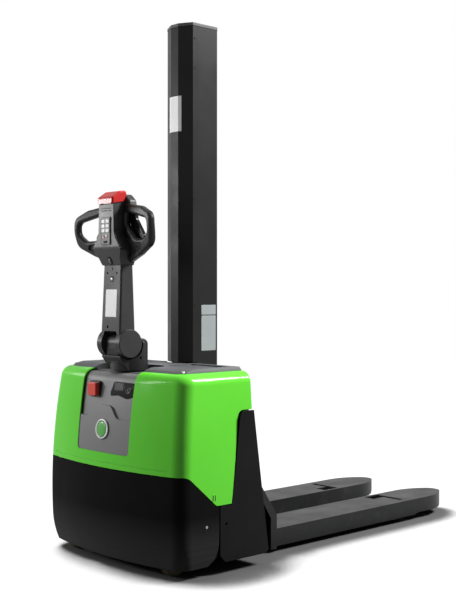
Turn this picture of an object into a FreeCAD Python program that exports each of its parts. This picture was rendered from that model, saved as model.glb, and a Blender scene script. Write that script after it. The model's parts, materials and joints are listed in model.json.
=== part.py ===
"""Pedestrian electric stacker with one mast column, modelled in millimetres.

X runs across the truck and Y along it, with the forks towards +Y. Z is up from the floor.
The model is laid out from the fork heel's front face at Y = 0, and is moved along Y at the end
so that its origin lies on the floor in the middle of its overall box.
"""
import FreeCAD, Part
import math
import os

V = FreeCAD.Vector

# Forks
FORK_SPREAD = 570.0
FORK_WIDTH = 184.0
FORK_LENGTH = 1100.0
FORK_TOP = 88.0
FORK_PLATE = 6.0
FORK_TIP_DEPTH = 60.0
FORK_SIDE_DEPTH = 67.0
FORK_STEP_Y = 835.0
FORK_STEP_RUN = 28.0
TIP_LENGTH = 165.0
TIP_NOSE_RADIUS = 52.0
TIP_UNDERCUT = 52.0
TIP_NOSE = 30.0
WINDOW_REAR = 708.0
WINDOW_FRONT = 796.0
WINDOW_EDGE = 12.0
WINDOW_POCKET = 52.0
WINDOW_SLOT = 90.0
WINDOW_SLOT_WIDTH = 24.0

# Support legs and load rollers
LEG_WIDTH = 144.0
LEG_TOP = 74.0
LEG_BOTTOM = 24.0
LEG_WALL = 8.0
LEG_ROOT = -150.0
LEG_NOSE = 46.0
LEG_OPENING = 47.0
ROLLER_RADIUS = 37.5
ROLLER_WIDTH = 96.0
ROLLER_Y = 757.0
ROLLER_AXLE_RADIUS = 10.0

# Body covers: a barrel form that is widest at one height, and tucks in at its foot
BODY_HALF = 390.0
BODY_FRONT = 606.0
BODY_CORNER = 55.0
BODY_BOW = 1560.0
BODY_LOW = 34.0
BODY_TOP = 690.0
BARREL_HEIGHT = 240.0
BARREL_SIDE = 20.0
BARREL_FRONT = 41.0
BARREL_LEVELS = 4
TUCK_HEIGHT = 130.0
TUCK = 13.0
TUCK_LEVELS = 4
BODY_REAR = -222.0
BODY_WALL = 5.0
SHOULDER_RADIUS = 42.0
SEAM_HEIGHT = 349.0
SEAM_LOW = 238.0
SEAM_BREAK_Y = -527.0
SEAM_FOOT_Y = -398.0
SEAM_RADIUS = 50.0
SEAM_FOOT_RADIUS = 26.0
SEAM_GAP = 3.0
SKIRT_REAR = -386.0
SKIRT_CHAMFER = 38.0
GROOVE_HEIGHT = 367.0
GROOVE_WIDTH = 2.5
GROOVE_DEPTH = 1.8
GROOVE_HALF = 325.0

# Side plates of the chassis
PLATE_THICKNESS = 8.0
PLATE_X = 390.0
PLATE_FRONT = -381.0
PLATE_BOTTOM = 42.0
PLATE_TOP = 554.0
PLATE_STEP_Y = -326.0
PLATE_FRONT_TOP = -285.0
PLATE_REAR_TOP = -221.0
PLATE_REAR_BOTTOM = -149.0
PLATE_CHAMFER = 24.0
PLATE_CORNER = 26.0

# Chassis inside the covers
DECK_TOP = 158.0
DECK_THICKNESS = 8.0
DECK_HOLE_RADIUS = 118.0
BEAM_FRONT = -232.0
BEAM_TOP = 90.0
BULKHEAD_THICKNESS = 8.0
WEB_OFFSET = 126.0
WEB_THICKNESS = 6.0
BRIDGE_TOP = 450.0
BRIDGE_THICKNESS = 10.0
BATTERY_WIDTH = 175.0
BATTERY_LENGTH = 305.0
BATTERY_HEIGHT = 225.0

# Top tray and front panel
TRAY_HEIGHT = 14.0
TRAY_LIP = 10.0
TRAY_SLOPE = 30.0
TRAY_SIDE = 6.0
TRAY_CORNER = 40.0
TRAY_PLUG = 12.0
TRAY_POCKET_DEPTH = 5.0
RECESS_HALF = 145.0
RECESS_CORNER = 60.0
PANEL_HALF = 150.0
PANEL_BOTTOM = 402.0
PANEL_RADIUS = 14.0
PANEL_SINK = 2.5
PANEL_THICKNESS = 12.0
LEDGE_HEIGHT = 523.0
LEDGE_DEPTH = 8.0
LEDGE_CREST = 567.0
LEDGE_CREST_HALF = 34.0
LEDGE_FOOT_HALF = 72.0
LEDGE_ROUND = 28.0
EMBLEM_HEIGHT = 484.0
EMBLEM_RADIUS = 36.0
EMBLEM_RISE = 4.0
SWITCH_X = -72.0
SWITCH_Z = 620.0
SWITCH_WIDTH = 50.0
SWITCH_HEIGHT = 48.0
SWITCH_RISE = 22.0
SWITCH_BEZEL = 5.0
DISPLAY_LEFT = 34.0
DISPLAY_RIGHT = 141.0
DISPLAY_LOW = 597.0
DISPLAY_HIGH = 652.0
DISPLAY_RISE = 3.0
DISPLAY_DEPTH = 18.0

# Mast column, cover and cap
MAST_TOP = 1975.0
MAST_HALF = 73.5
MAST_FRONT = -258.0
MAST_NOSE_HALF = 21.0
MAST_CHAMFER = 27.6
MAST_STRIP = 20.4
MAST_REAR = -105.0
MAST_WALL = 7.0
MAST_LIP = 22.5
COVER_SHEET = 3.0
COVER_FOOT = 706.0
CAP_HEIGHT = 12.0
CAP_OVERHANG = 1.2

# Lift cylinder, chain and carriage
LIFT_STROKE = 1500.0
BARREL_RADIUS = 20.0
BARREL_BORE = 15.0
BARREL_TOP = 960.0
ROD_RADIUS = 12.5
ROD_OVERLAP = 60.0
GLAND_LENGTH = 25.0
PISTON_LENGTH = 25.0
SHEAVE_Z = 1050.0
SHEAVE_PITCH = 29.0
SHEAVE_FLANGE = 2.5
CHAIN_THICKNESS = 8.0
CHAIN_WIDTH = 16.0
CHAIN_ANCHOR_Z = 225.0
CARRIAGE_LOW = 150.0
CARRIAGE_HIGH = 445.0
CARRIAGE_HALF = 118.0
CARRIAGE_GAP = 9.0
CARRIAGE_PLATE = 12.0
CHEEK_X = 37.0
CHEEK_THICKNESS = 8.0
MAST_ROLLER_RADIUS = 39.0
MAST_ROLLER_WIDTH = 13.0
MAST_ROLLER_HEIGHTS = (195.0, 400.0)
HEEL_RIB = 12.0
HEEL_RIB_DEPTH = 31.0
HEEL_FOOT = 12.0
HEEL_KNEE = 139.0
APRON_TOP = 262.0

# Steering, drive wheel and casters
STEER_Y = -473.0
DRIVE_RADIUS = 115.0
DRIVE_WIDTH = 70.0
DRIVE_RIM = 86.0
DRIVE_AXLE = 16.0
STEER_TUBE = 30.0
CROWN_BOTTOM = 240.0
CROWN_RADIUS = 100.0
CROWN_THICKNESS = 28.0
MOTOR_RADIUS = 66.0
MOTOR_HEIGHT = 160.0
CASTER_X = BODY_HALF - 115.0
CASTER_Y = 111.0 - BODY_FRONT
CASTER_TRAIL = 35.0
CASTER_RADIUS = 50.0
CASTER_WIDTH = 40.0
CASTER_AXLE = 8.0

# Turret and tiller
TURRET_RADIUS = 68.0
TURRET_BOTTOM = 688.0
TURRET_TOP = 801.0
TURRET_ROUND = 20.0
PIVOT_Y = -517.0
PIVOT_Z = 785.0
HUB_RADIUS = 51.0
HUB_OUTER = 68.0
HUB_INNER = 39.0
PIVOT_PIN = 12.0
ARM_TOP_Z = 1078.0
ARM_TOP_HALF = 52.5
ARM_TOP_FRONT = -546.7
ARM_TOP_REAR = -495.5
ARM_LOW_HALF = 57.0
ARM_LOW_FRONT = -558.9
ARM_LOW_REAR = -486.5
ARM_CORNER = 7.0
ARM_WALL = 5.0
ARM_MOUTH = 44.0
ARM_HOLES = ((-27.0, 1037.0, 4.0), (27.0, 1037.0, 4.0), (-16.0, 844.0, 5.0))
HEAD_FRONT = -576.0
HEAD_REAR = -500.0
HEAD_FOOT = 1064.0
HEAD_TOP = 1284.0
HEAD_RISE = 13.0
HEAD_HALF = 41.0
HEAD_FLARE = 82.0
HOOD_HALF = 72.0
HOOD_TOP = 1318.0
HOOD_FRONT = -524.0
HOOD_REAR = -488.0
GRIP_FRONT = -560.0
GRIP_DEPTH = 27.0
GRIP_ROUND = 11.0
GRIP_REACH = 226.0
GRIP_BEND_Z = 1215.0
GRIP_LOW_SET = 24.0
GRIP_TOP_SET = 13.0
GRIP_LOW_EXTRA = 5.0
GRIP_SWEEP = 8.0
GRIP_SWEEP_X = 200.0
LEVER_Y = -516.0
LEVER_THICKNESS = 13.0
BUTTON_HALF = 46.0
BUTTON_FRONT = -582.0
BUTTON_REAR = -517.0
BUTTON_RISE = 38.0
KEYPAD_HALF = 28.0
KEYPAD_LOW = 1136.0
KEYPAD_HIGH = 1236.0

RUN_GAP = 0.3
SEAT_GAP = 0.4
MOVE_GAP = 6.0

HEEL = 0.0
FORK_CENTRE = (FORK_SPREAD - FORK_WIDTH) / 2
FORK_UNDER = FORK_TOP - FORK_PLATE
ORIGIN_Y = (FORK_LENGTH - BODY_FRONT) / 2
RECESS_FLOOR = TURRET_BOTTOM - MOVE_GAP + 1.0
RECESS_REAR = STEER_Y + TURRET_RADIUS + 2 * MOVE_GAP
CHAIN_Y = (MAST_FRONT + MAST_CHAMFER + MAST_STRIP + MAST_WALL + MAST_REAR - MAST_WALL) / 2

# Shapes


def box(x0, x1, y0, y1, z0, z1):
    """A block between two corners."""
    return Part.makeBox(x1 - x0, y1 - y0, z1 - z0, V(x0, y0, z0))


def rod(centre, radius, length, axis=V(0, 0, 1)):
    """A cylinder that starts at centre and runs along axis."""
    return Part.makeCylinder(radius, length, centre, axis)


def cross_rod(x0, x1, y, z, radius):
    """A cylinder across the truck from x0 to x1."""
    return rod(V(x0, y, z), radius, x1 - x0, V(1, 0, 0))


def outline(points, place):
    """A closed wire through (a, b) or (a, b, corner radius) points, put in space by place(a, b)."""
    count = len(points)
    flat = [V(p[0], p[1], 0) for p in points]
    radii = [p[2] if len(p) > 2 else 0.0 for p in points]
    starts = []
    ends = []
    mids = []
    for i in range(count):
        here = flat[i]
        if radii[i] <= 0:
            starts.append(here)
            ends.append(here)
            mids.append(None)
            continue
        to_last = (flat[i - 1] - here).normalize()
        to_next = (flat[(i + 1) % count] - here).normalize()
        half = to_last.getAngle(to_next) / 2
        reach = radii[i] / math.tan(half)
        bisector = (to_last + to_next).normalize()
        starts.append(here + to_last * reach)
        ends.append(here + to_next * reach)
        mids.append(here + bisector * (radii[i] / math.sin(half) - radii[i]))
    edges = []
    for i in range(count):
        if mids[i] is not None:
            arc = [place(p.x, p.y) for p in (starts[i], mids[i], ends[i])]
            edges.append(Part.Arc(*arc).toShape())
        a = ends[i]
        b = starts[(i + 1) % count]
        if (b - a).Length > 1e-6:
            edges.append(Part.makeLine(place(a.x, a.y), place(b.x, b.y)))
    return Part.Wire(edges)


def side_slab(points, x0, x1):
    """A plate with its (y, z) outline, from x0 to x1."""
    wire = outline(points, lambda a, b: V(x0, a, b))
    return Part.Face(wire).extrude(V(x1 - x0, 0, 0))


def flat_slab(points, z0, z1):
    """A plate with its (x, y) outline, from z0 to z1."""
    wire = outline(points, lambda a, b: V(a, b, z0))
    return Part.Face(wire).extrude(V(0, 0, z1 - z0))


def front_slab(points, y0, y1):
    """A plate with its (x, z) outline, from y0 to y1."""
    wire = outline(points, lambda a, b: V(a, y0, b))
    return Part.Face(wire).extrude(V(0, y1 - y0, 0))


def mirrored(shape):
    """The same shape on the other side of the truck."""
    return shape.mirror(V(0, 0, 0), V(1, 0, 0))


def both_sides(shape):
    """The shape and its mirror image, as one."""
    return shape.fuse(mirrored(shape))


def joined(*shapes):
    """One solid from shapes that meet."""
    whole = shapes[0].fuse(list(shapes[1:]))
    return whole.removeSplitter()


def rounded(shape, radius, wanted):
    """The shape with each edge that wanted(edge) names rounded."""
    edges = [e for e in shape.Edges if wanted(e)]
    return shape.makeFillet(radius, edges) if edges else shape


# Body shell


def level(z):
    """Half width and front reach of the body at one height."""
    rise = (z - BARREL_HEIGHT) / (BODY_TOP - BARREL_HEIGHT)
    half = BODY_HALF - BARREL_SIDE * rise ** 2
    front = BODY_FRONT - BARREL_FRONT * rise ** 2
    if z < TUCK_HEIGHT:
        tuck = TUCK * ((TUCK_HEIGHT - z) / (TUCK_HEIGHT - BODY_LOW)) ** 2
        half -= tuck
        front -= tuck
    return half, front


def footprint(z, inset=0.0):
    """One level of the body: straight sides, round front corners and a bowed front."""
    half, front = level(z)
    half -= inset
    front = inset - front
    corner = BODY_CORNER - inset
    bow = BODY_BOW - inset
    bow_y = front + bow
    corner_x = half - corner
    corner_y = bow_y - math.sqrt((bow - corner) ** 2 - corner_x ** 2)
    turn = math.asin(corner_x / (bow - corner))
    join = V(bow * math.sin(turn), bow_y - bow * math.cos(turn), z)
    middle = (turn + math.pi / 2) / 2
    mid = V(corner_x + corner * math.sin(middle), corner_y - corner * math.cos(middle), z)
    side = V(half, corner_y, z)
    back = V(half, BODY_REAR + 20, z)

    def other(p):
        return V(-p.x, p.y, p.z)

    edges = [
        Part.makeLine(other(back), other(side)),
        Part.Arc(other(side), other(mid), other(join)).toShape(),
        Part.Arc(other(join), V(0, front, z), join).toShape(),
        Part.Arc(join, mid, side).toShape(),
        Part.makeLine(side, back),
        Part.makeLine(back, other(back)),
    ]
    return Part.Wire(edges)


def body_solid(inset=0.0):
    """The whole outside form of the covers, or that form set in by a wall."""
    low = BODY_LOW - (10.0 if inset > 0 else 0.0)
    top = BODY_TOP - inset
    feet = [low + (TUCK_HEIGHT - low) * i / TUCK_LEVELS for i in range(TUCK_LEVELS + 1)]
    sides = [TUCK_HEIGHT + (top - TUCK_HEIGHT) * i / BARREL_LEVELS for i in range(BARREL_LEVELS + 1)]
    foot = Part.makeLoft([footprint(z, inset) for z in feet], True, True)
    side = Part.makeLoft([footprint(z, inset) for z in sides], True, False)

    def on_top(edge):
        bounds = edge.BoundBox
        return bounds.ZMin > top - 1 and bounds.YMax < BODY_REAR + 21 and bounds.YLength > 1

    side = rounded(side, SHOULDER_RADIUS - inset, on_top)
    form = foot.fuse(side)
    return form.cut(box(-500, 500, BODY_REAR, BODY_REAR + 100, 0, 800))


def seam_points(shift):
    """The (y, z) seam between skirt and hood, from the front to the side plate."""
    return [
        (-BODY_FRONT - 60, SEAM_HEIGHT + shift),
        (SEAM_BREAK_Y, SEAM_HEIGHT + shift, SEAM_RADIUS),
        (SEAM_FOOT_Y, SEAM_LOW + shift, SEAM_FOOT_RADIUS),
    ]


def side_plate_points(grow=0.0):
    """The (y, z) outline of a side plate, grown for a clearance."""
    return [
        (PLATE_FRONT - grow, PLATE_BOTTOM + PLATE_CHAMFER),
        (PLATE_FRONT - grow, SEAM_LOW - SEAM_GAP),
        (PLATE_STEP_Y - grow, SEAM_LOW - SEAM_GAP),
        (PLATE_FRONT_TOP - grow, PLATE_TOP + grow, PLATE_CORNER),
        (PLATE_REAR_TOP + grow, PLATE_TOP + grow),
        (PLATE_REAR_BOTTOM + grow, PLATE_BOTTOM + PLATE_CHAMFER / 2),
        (PLATE_REAR_BOTTOM - PLATE_CHAMFER / 2, PLATE_BOTTOM),
        (PLATE_FRONT + PLATE_CHAMFER, PLATE_BOTTOM),
    ]


def lower_skirt(shell):
    """The black skirt below the seam, open towards the floor."""
    seam = seam_points(-SEAM_GAP / 2)
    low = BODY_LOW
    region = seam + [
        (SKIRT_REAR, SEAM_LOW - SEAM_GAP / 2),
        (SKIRT_REAR, low + SKIRT_CHAMFER * 0.8),
        (SKIRT_REAR - SKIRT_CHAMFER, low),
        (-BODY_FRONT - 60, low),
    ]
    return shell.common(side_slab(region, -500, 500))


def panel_outline(grow):
    """The (x, z) outline of the front panel."""
    high = BODY_TOP + 20
    half = PANEL_HALF + grow
    low = PANEL_BOTTOM - grow
    return [
        (-half, low, PANEL_RADIUS + grow),
        (half, low, PANEL_RADIUS + grow),
        (half, high),
        (-half, high),
    ]


def tray_wire_points(inset, slope=0.0):
    """The (x, y) outline of the hood's flat top, set in by inset, and by slope more in front."""
    half, reach = level(BODY_TOP)
    half -= SHOULDER_RADIUS + inset
    front = SHOULDER_RADIUS + inset + slope - reach
    rear = BODY_REAR - inset
    corner = TRAY_CORNER - inset / 2
    bow = 18.0
    return [
        (-half, front + bow, corner),
        (-half / 3, front, 200.0),
        (half / 3, front, 200.0),
        (half, front + bow, corner),
        (half, rear),
        (-half, rear),
    ]


def mast_clear(grow, z0, z1):
    """The room that the mast needs in the covers."""
    half = MAST_HALF + grow
    return box(-half, half, MAST_FRONT - grow, MAST_REAR + 40, z0, z1)


def upper_cover(shell):
    """The hood above the seam, with its openings for tray, panel, mast and side plates."""
    seam = seam_points(SEAM_GAP / 2)
    region = seam + [
        (BODY_REAR + 1, SEAM_LOW + SEAM_GAP / 2),
        (BODY_REAR + 1, 800),
        (-BODY_FRONT - 60, 800),
    ]
    hood = shell.common(side_slab(region, -500, 500))
    top = BODY_TOP
    hood = hood.cut(flat_slab(tray_wire_points(TRAY_LIP), top - 60, top + 10))
    hood = hood.cut(mast_clear(MOVE_GAP, 0, top + 10))
    plate = side_slab(side_plate_points(SEAM_GAP), PLATE_X - PLATE_THICKNESS - 8, PLATE_X + 20)
    hood = hood.cut(both_sides(plate))
    band = box(-GROOVE_HALF, GROOVE_HALF, -700, -480, GROOVE_HEIGHT, GROOVE_HEIGHT + GROOVE_WIDTH)
    hood = hood.cut(band.cut(body_solid(GROOVE_DEPTH)))
    return hood.cut(front_slab(panel_outline(SEAT_GAP), -700, -480))


def ledge_points():
    """The (x, z) region above the panel's ledge, which rises in a soft bell over the emblem."""
    side = PANEL_HALF + 50
    low = [
        (LEDGE_FOOT_HALF, LEDGE_HEIGHT, LEDGE_ROUND),
        (LEDGE_CREST_HALF, LEDGE_CREST, LEDGE_ROUND),
    ]
    other = [(-x, z, r) for x, z, r in reversed(low)]
    return [(side, LEDGE_HEIGHT)] + low + other + [(-side, LEDGE_HEIGHT), (-side, 760), (side, 760)]


def front_panel(outer):
    """The grey panel with its stepped recess and the plain round boss."""
    skin = body_solid(PANEL_SINK).cut(body_solid(PANEL_SINK + PANEL_THICKNESS))
    panel = skin.common(front_slab(panel_outline(0), -700, -480))
    tray_front = SHOULDER_RADIUS - level(BODY_TOP)[1]
    panel = panel.cut(box(-500, 500, tray_front + TRAY_LIP, 0, BODY_TOP - 60, BODY_TOP + 10))
    panel = panel.cut(box(-500, 500, -700, 0, RECESS_FLOOR, BODY_TOP + 10))
    sunk = outer.cut(body_solid(PANEL_SINK + LEDGE_DEPTH))
    panel = panel.cut(sunk.common(front_slab(ledge_points(), -700, -480)))
    boss_form = body_solid(PANEL_SINK - EMBLEM_RISE).cut(body_solid(PANEL_SINK + 1))
    boss = boss_form.common(rod(V(0, -700, EMBLEM_HEIGHT), EMBLEM_RADIUS, 220, V(0, 1, 0)))
    return panel.fuse(boss)


def stop_switch(y):
    """The square emergency switch: a bezel and base through the panel, and a pad in front."""
    half = SWITCH_WIDTH / 2
    tall = SWITCH_HEIGHT / 2
    rim = SWITCH_BEZEL
    bezel = box(
        SWITCH_X - half - rim, SWITCH_X + half + rim, y - 6, y + 30, SWITCH_Z - tall - rim, SWITCH_Z + tall + rim
    )
    bezel = rounded(bezel, 8, lambda e: e.BoundBox.YLength > 1)
    pad = box(SWITCH_X - half, SWITCH_X + half, y - SWITCH_RISE, y - 6, SWITCH_Z - tall, SWITCH_Z + tall)
    pad = rounded(pad, 9, lambda e: e.BoundBox.YLength > 1)
    return bezel.fuse(rounded(pad, 4, lambda e: e.BoundBox.YMax < y - SWITCH_RISE + 1))


def display():
    """The charge display and key lock housing, which follows the panel, with a waved lower edge."""
    low = DISPLAY_LOW
    high = DISPLAY_HIGH
    width = DISPLAY_RIGHT - DISPLAY_LEFT
    outline_ = [
        (DISPLAY_LEFT, high, 8),
        (DISPLAY_RIGHT, high - 2, 8),
        (DISPLAY_RIGHT, low + 8, 10),
        (DISPLAY_RIGHT - width * 0.3, low - 2, 20),
        (DISPLAY_LEFT + width * 0.25, low + 9, 18),
        (DISPLAY_LEFT - width * 0.12, low + 5, 3),
        (DISPLAY_LEFT - width * 0.13, low + 19, 6),
    ]
    near = body_solid(PANEL_SINK + LEDGE_DEPTH - DISPLAY_RISE)
    far = body_solid(PANEL_SINK + LEDGE_DEPTH - DISPLAY_RISE + DISPLAY_DEPTH)
    return near.cut(far).common(front_slab(outline_, -700, -480))


def turret_recess(high):
    """The lowered floor round the turret, open towards the front panel."""
    points = [
        (-RECESS_HALF, -700),
        (RECESS_HALF, -700),
        (RECESS_HALF, RECESS_REAR, RECESS_CORNER),
        (-RECESS_HALF, RECESS_REAR, RECESS_CORNER),
    ]
    return flat_slab(points, RECESS_FLOOR, high)


def top_tray():
    """The grey tray on the hood, with a recess for the turret and a paper pocket each side."""
    low = BODY_TOP
    high = low + TRAY_HEIGHT
    levels = [(0.0, 0.0, 0.0), (0.5, 0.3, 0.55), (1.0, 1.0, 1.0)]
    wires = []
    for side, slope, rise in levels:
        points = tray_wire_points(TRAY_SIDE * side, TRAY_SLOPE * slope)
        z = low + 1 + (TRAY_HEIGHT - 1) * rise
        wires.append(outline(points, lambda a, b, z=z: V(a, b, z)))
    tray = Part.makeLoft(wires, True, True)
    tray = tray.fuse(flat_slab(tray_wire_points(0), low, low + 1))
    plug = flat_slab(tray_wire_points(TRAY_LIP + SEAT_GAP), low - TRAY_PLUG, low)
    tray = tray.fuse(plug)
    tray = tray.cut(turret_recess(high + 10))
    tray = tray.cut(mast_clear(MOVE_GAP, 0, high + 10))
    tray = tray.cut(rod(V(0, STEER_Y, low - 40), STEER_TUBE + MOVE_GAP, 100))
    near = RECESS_REAR + 2 * MOVE_GAP
    far = BODY_REAR - 34
    pocket = [(104, near, 12), (296, near, 12), (296, far, 12), (104, far, 12)]
    return tray.cut(both_sides(flat_slab(pocket, high - TRAY_POCKET_DEPTH, high + 5)))


# Chassis


def side_plate():
    """The right side plate, with a hole for its fastener."""
    plate = side_slab(side_plate_points(), PLATE_X - PLATE_THICKNESS, PLATE_X)
    return plate.cut(cross_rod(PLATE_X - 20, PLATE_X + 20, -353, 173, 5))


def chassis_frame(inner):
    """Base beam, bulkhead, deck, webs and bridge: what carries everything else."""
    inside = PLATE_X - PLATE_THICKNESS
    beam = box(-inside, inside, BEAM_FRONT, LEG_ROOT, PLATE_BOTTOM, BEAM_TOP)
    foot = box(-CARRIAGE_HALF, CARRIAGE_HALF, BEAM_FRONT, MAST_REAR + 8, PLATE_BOTTOM, BEAM_TOP)
    back = BEAM_FRONT - BULKHEAD_THICKNESS
    bulkhead = box(-inside, inside, back, BEAM_FRONT, PLATE_BOTTOM, BODY_TOP - 14)
    upper = box(-500, 500, back - 1, BEAM_FRONT + 1, PLATE_TOP - 20, 800)
    bulkhead = bulkhead.cut(upper).fuse(bulkhead.common(upper).common(inner))
    bulkhead = bulkhead.cut(mast_clear(MOVE_GAP, COVER_FOOT - 40, 800))
    deck = box(-inside, inside, -700, back, DECK_TOP - DECK_THICKNESS, DECK_TOP).common(inner)
    deck = deck.cut(rod(V(0, STEER_Y, 0), DECK_HOLE_RADIUS, 300))
    for side in (-1, 1):
        pin_x = side * CASTER_X
        pin_y = CASTER_Y + CASTER_TRAIL
        pad = box(pin_x - 45, pin_x + 45, pin_y - 40, pin_y + 40, DECK_TOP - 18, DECK_TOP)
        deck = deck.fuse(pad)
        deck = deck.cut(rod(V(pin_x, pin_y, 100), CASTER_AXLE + 2 + RUN_GAP, 100))
    front = STEER_Y - 100
    web = box(WEB_OFFSET, WEB_OFFSET + WEB_THICKNESS, front, back, DECK_TOP, BRIDGE_TOP - BRIDGE_THICKNESS)
    reach = WEB_OFFSET + WEB_THICKNESS
    bridge = box(-reach, reach, front, back, BRIDGE_TOP - BRIDGE_THICKNESS, BRIDGE_TOP)
    bridge = bridge.cut(rod(V(0, STEER_Y, 400), STEER_TUBE + RUN_GAP, 100))
    return joined(beam, foot, bulkhead, deck, both_sides(web), bridge)


def battery():
    """Two battery blocks, one each side of the drive unit, standing on the deck."""
    x0 = WEB_OFFSET + WEB_THICKNESS + 8
    y1 = BEAM_FRONT - BULKHEAD_THICKNESS - SEAT_GAP
    block = box(x0, x0 + BATTERY_WIDTH, y1 - BATTERY_LENGTH, y1, DECK_TOP, DECK_TOP + BATTERY_HEIGHT)
    return Part.makeCompound([block, mirrored(block)])


def support_leg():
    """The right leg: an inverted channel that runs inside the fork to its load roller."""
    x0 = FORK_CENTRE - LEG_WIDTH / 2
    x1 = FORK_CENTRE + LEG_WIDTH / 2
    nose = ROLLER_Y + LEG_NOSE
    side = [
        (LEG_ROOT, LEG_BOTTOM),
        (nose, LEG_BOTTOM, 20),
        (nose, LEG_TOP, 20),
        (LEG_ROOT, LEG_TOP),
    ]
    leg = side_slab(side, x0, x1)
    leg = leg.cut(box(x0 + LEG_WALL, x1 - LEG_WALL, LEG_ROOT + 60, nose + 10, 0, LEG_TOP - LEG_WALL))
    leg = leg.cut(box(x0 + LEG_WALL, x1 - LEG_WALL, ROLLER_Y - LEG_OPENING, nose + 10, 0, LEG_TOP + 10))
    return leg.cut(cross_rod(x0 - 5, x1 + 5, ROLLER_Y, ROLLER_RADIUS, ROLLER_AXLE_RADIUS))


def load_axle():
    """The right load roller's axle, held in the leg's cheeks."""
    x0 = FORK_CENTRE - LEG_WIDTH / 2
    return cross_rod(x0, x0 + LEG_WIDTH, ROLLER_Y, ROLLER_RADIUS, ROLLER_AXLE_RADIUS)


def load_roller():
    """The right load roller, with its edges rounded and end washers."""
    half = ROLLER_WIDTH / 2
    tread = cross_rod(FORK_CENTRE - half, FORK_CENTRE + half, ROLLER_Y, ROLLER_RADIUS, ROLLER_RADIUS)
    tread = rounded(tread, 4, lambda e: e.BoundBox.YLength > 1)
    reach = LEG_WIDTH / 2 - LEG_WALL - SEAT_GAP
    x0 = FORK_CENTRE - reach
    x1 = FORK_CENTRE + reach
    hub = cross_rod(x0, x1, ROLLER_Y, ROLLER_RADIUS, ROLLER_AXLE_RADIUS + 7)
    bore = cross_rod(x0, x1, ROLLER_Y, ROLLER_RADIUS, ROLLER_AXLE_RADIUS + RUN_GAP)
    return tread.fuse(hub).cut(bore)


# Mast


def mast_section(grow):
    """The (x, y) corner points of the cover's front."""
    half = MAST_HALF + grow
    nose = MAST_NOSE_HALF + grow * 0.6
    knee = MAST_FRONT + MAST_CHAMFER - grow * 0.6
    return [(-half, knee), (-nose, MAST_FRONT - grow), (nose, MAST_FRONT - grow), (half, knee)]


def mast_column():
    """The rolled column: a web, two side walls and lips that keep the rollers in."""
    web = MAST_FRONT + MAST_CHAMFER + MAST_STRIP
    inner = MAST_HALF - MAST_WALL
    slot = MAST_HALF - MAST_LIP
    section = [
        (-MAST_HALF, web),
        (MAST_HALF, web),
        (MAST_HALF, MAST_REAR, 6),
        (slot, MAST_REAR),
        (slot, MAST_REAR - MAST_WALL),
        (inner, MAST_REAR - MAST_WALL),
        (inner, web + MAST_WALL),
        (-inner, web + MAST_WALL),
        (-inner, MAST_REAR - MAST_WALL),
        (-slot, MAST_REAR - MAST_WALL),
        (-slot, MAST_REAR),
        (-MAST_HALF, MAST_REAR, 6),
    ]
    return flat_slab(section, BEAM_TOP, MAST_TOP - CAP_HEIGHT)


def mast_cover():
    """The folded sheet over the column's front, with its side returns."""
    web = MAST_FRONT + MAST_CHAMFER + MAST_STRIP
    outer = mast_section(0) + [(MAST_HALF, web), (-MAST_HALF, web)]
    inner = mast_section(-COVER_SHEET)
    low = inner[0][0]
    inner = inner + [(-low, web + 5), (low, web + 5)]
    form = flat_slab(outer, COVER_FOOT, MAST_TOP - CAP_HEIGHT)
    return form.cut(flat_slab(inner, COVER_FOOT - 5, MAST_TOP))


def mast_cap():
    """The lid over column and cover."""
    points = mast_section(CAP_OVERHANG)
    half = MAST_HALF + CAP_OVERHANG
    points = points + [(half, MAST_REAR + CAP_OVERHANG, 7), (-half, MAST_REAR + CAP_OVERHANG, 7)]
    cap = flat_slab(points, MAST_TOP - CAP_HEIGHT, MAST_TOP)
    return rounded(cap, 3, lambda e: e.BoundBox.ZMin > MAST_TOP - 0.1)


def lift_cylinder():
    """The cylinder barrel, with the gland at its top that guides the rod."""
    barrel = rod(V(0, CHAIN_Y, BEAM_TOP), BARREL_RADIUS, BARREL_TOP - BEAM_TOP)
    floor = BEAM_TOP + 14
    barrel = barrel.cut(rod(V(0, CHAIN_Y, floor), BARREL_BORE, BARREL_TOP - GLAND_LENGTH - floor))
    return barrel.cut(rod(V(0, CHAIN_Y, floor), ROD_RADIUS + RUN_GAP, BARREL_TOP))


def lift_rod():
    """The piston rod with its piston, and the yoke on its top."""
    low = BARREL_TOP - ROD_OVERLAP - LIFT_STROKE / 2
    seat = SHEAVE_Z - SHEAVE_PITCH - 22
    shaft = rod(V(0, CHAIN_Y, low), ROD_RADIUS, seat - low)
    piston = rod(V(0, CHAIN_Y, low), BARREL_BORE - RUN_GAP, PISTON_LENGTH)
    block = box(-19, 19, CHAIN_Y - 18, CHAIN_Y + 18, seat - 14, seat)
    cheek_points = [
        (CHAIN_Y - 15, seat - 5),
        (CHAIN_Y + 15, seat - 5),
        (CHAIN_Y + 15, SHEAVE_Z + 15, 14),
        (CHAIN_Y - 15, SHEAVE_Z + 15, 14),
    ]
    cheek = side_slab(cheek_points, 14, 19)
    pin = cross_rod(-22, 22, CHAIN_Y, SHEAVE_Z, 7)
    return joined(shaft, piston, block, both_sides(cheek), pin)


def chain_sheave():
    """The chain wheel between the yoke's cheeks."""
    half = CHAIN_WIDTH / 2 + 0.5
    groove = SHEAVE_PITCH - CHAIN_THICKNESS / 2 - RUN_GAP
    drum = cross_rod(-half, half, CHAIN_Y, SHEAVE_Z, groove)
    flange = cross_rod(half, half + SHEAVE_FLANGE, CHAIN_Y, SHEAVE_Z, SHEAVE_PITCH + 3)
    wheel = drum.fuse(both_sides(flange))
    return wheel.cut(cross_rod(-40, 40, CHAIN_Y, SHEAVE_Z, 7 + RUN_GAP))


def chain_bar(y, z0, z1):
    """A straight run of chain."""
    half = CHAIN_WIDTH / 2
    return box(-half, half, y - CHAIN_THICKNESS / 2, y + CHAIN_THICKNESS / 2, z0, z1)


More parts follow.
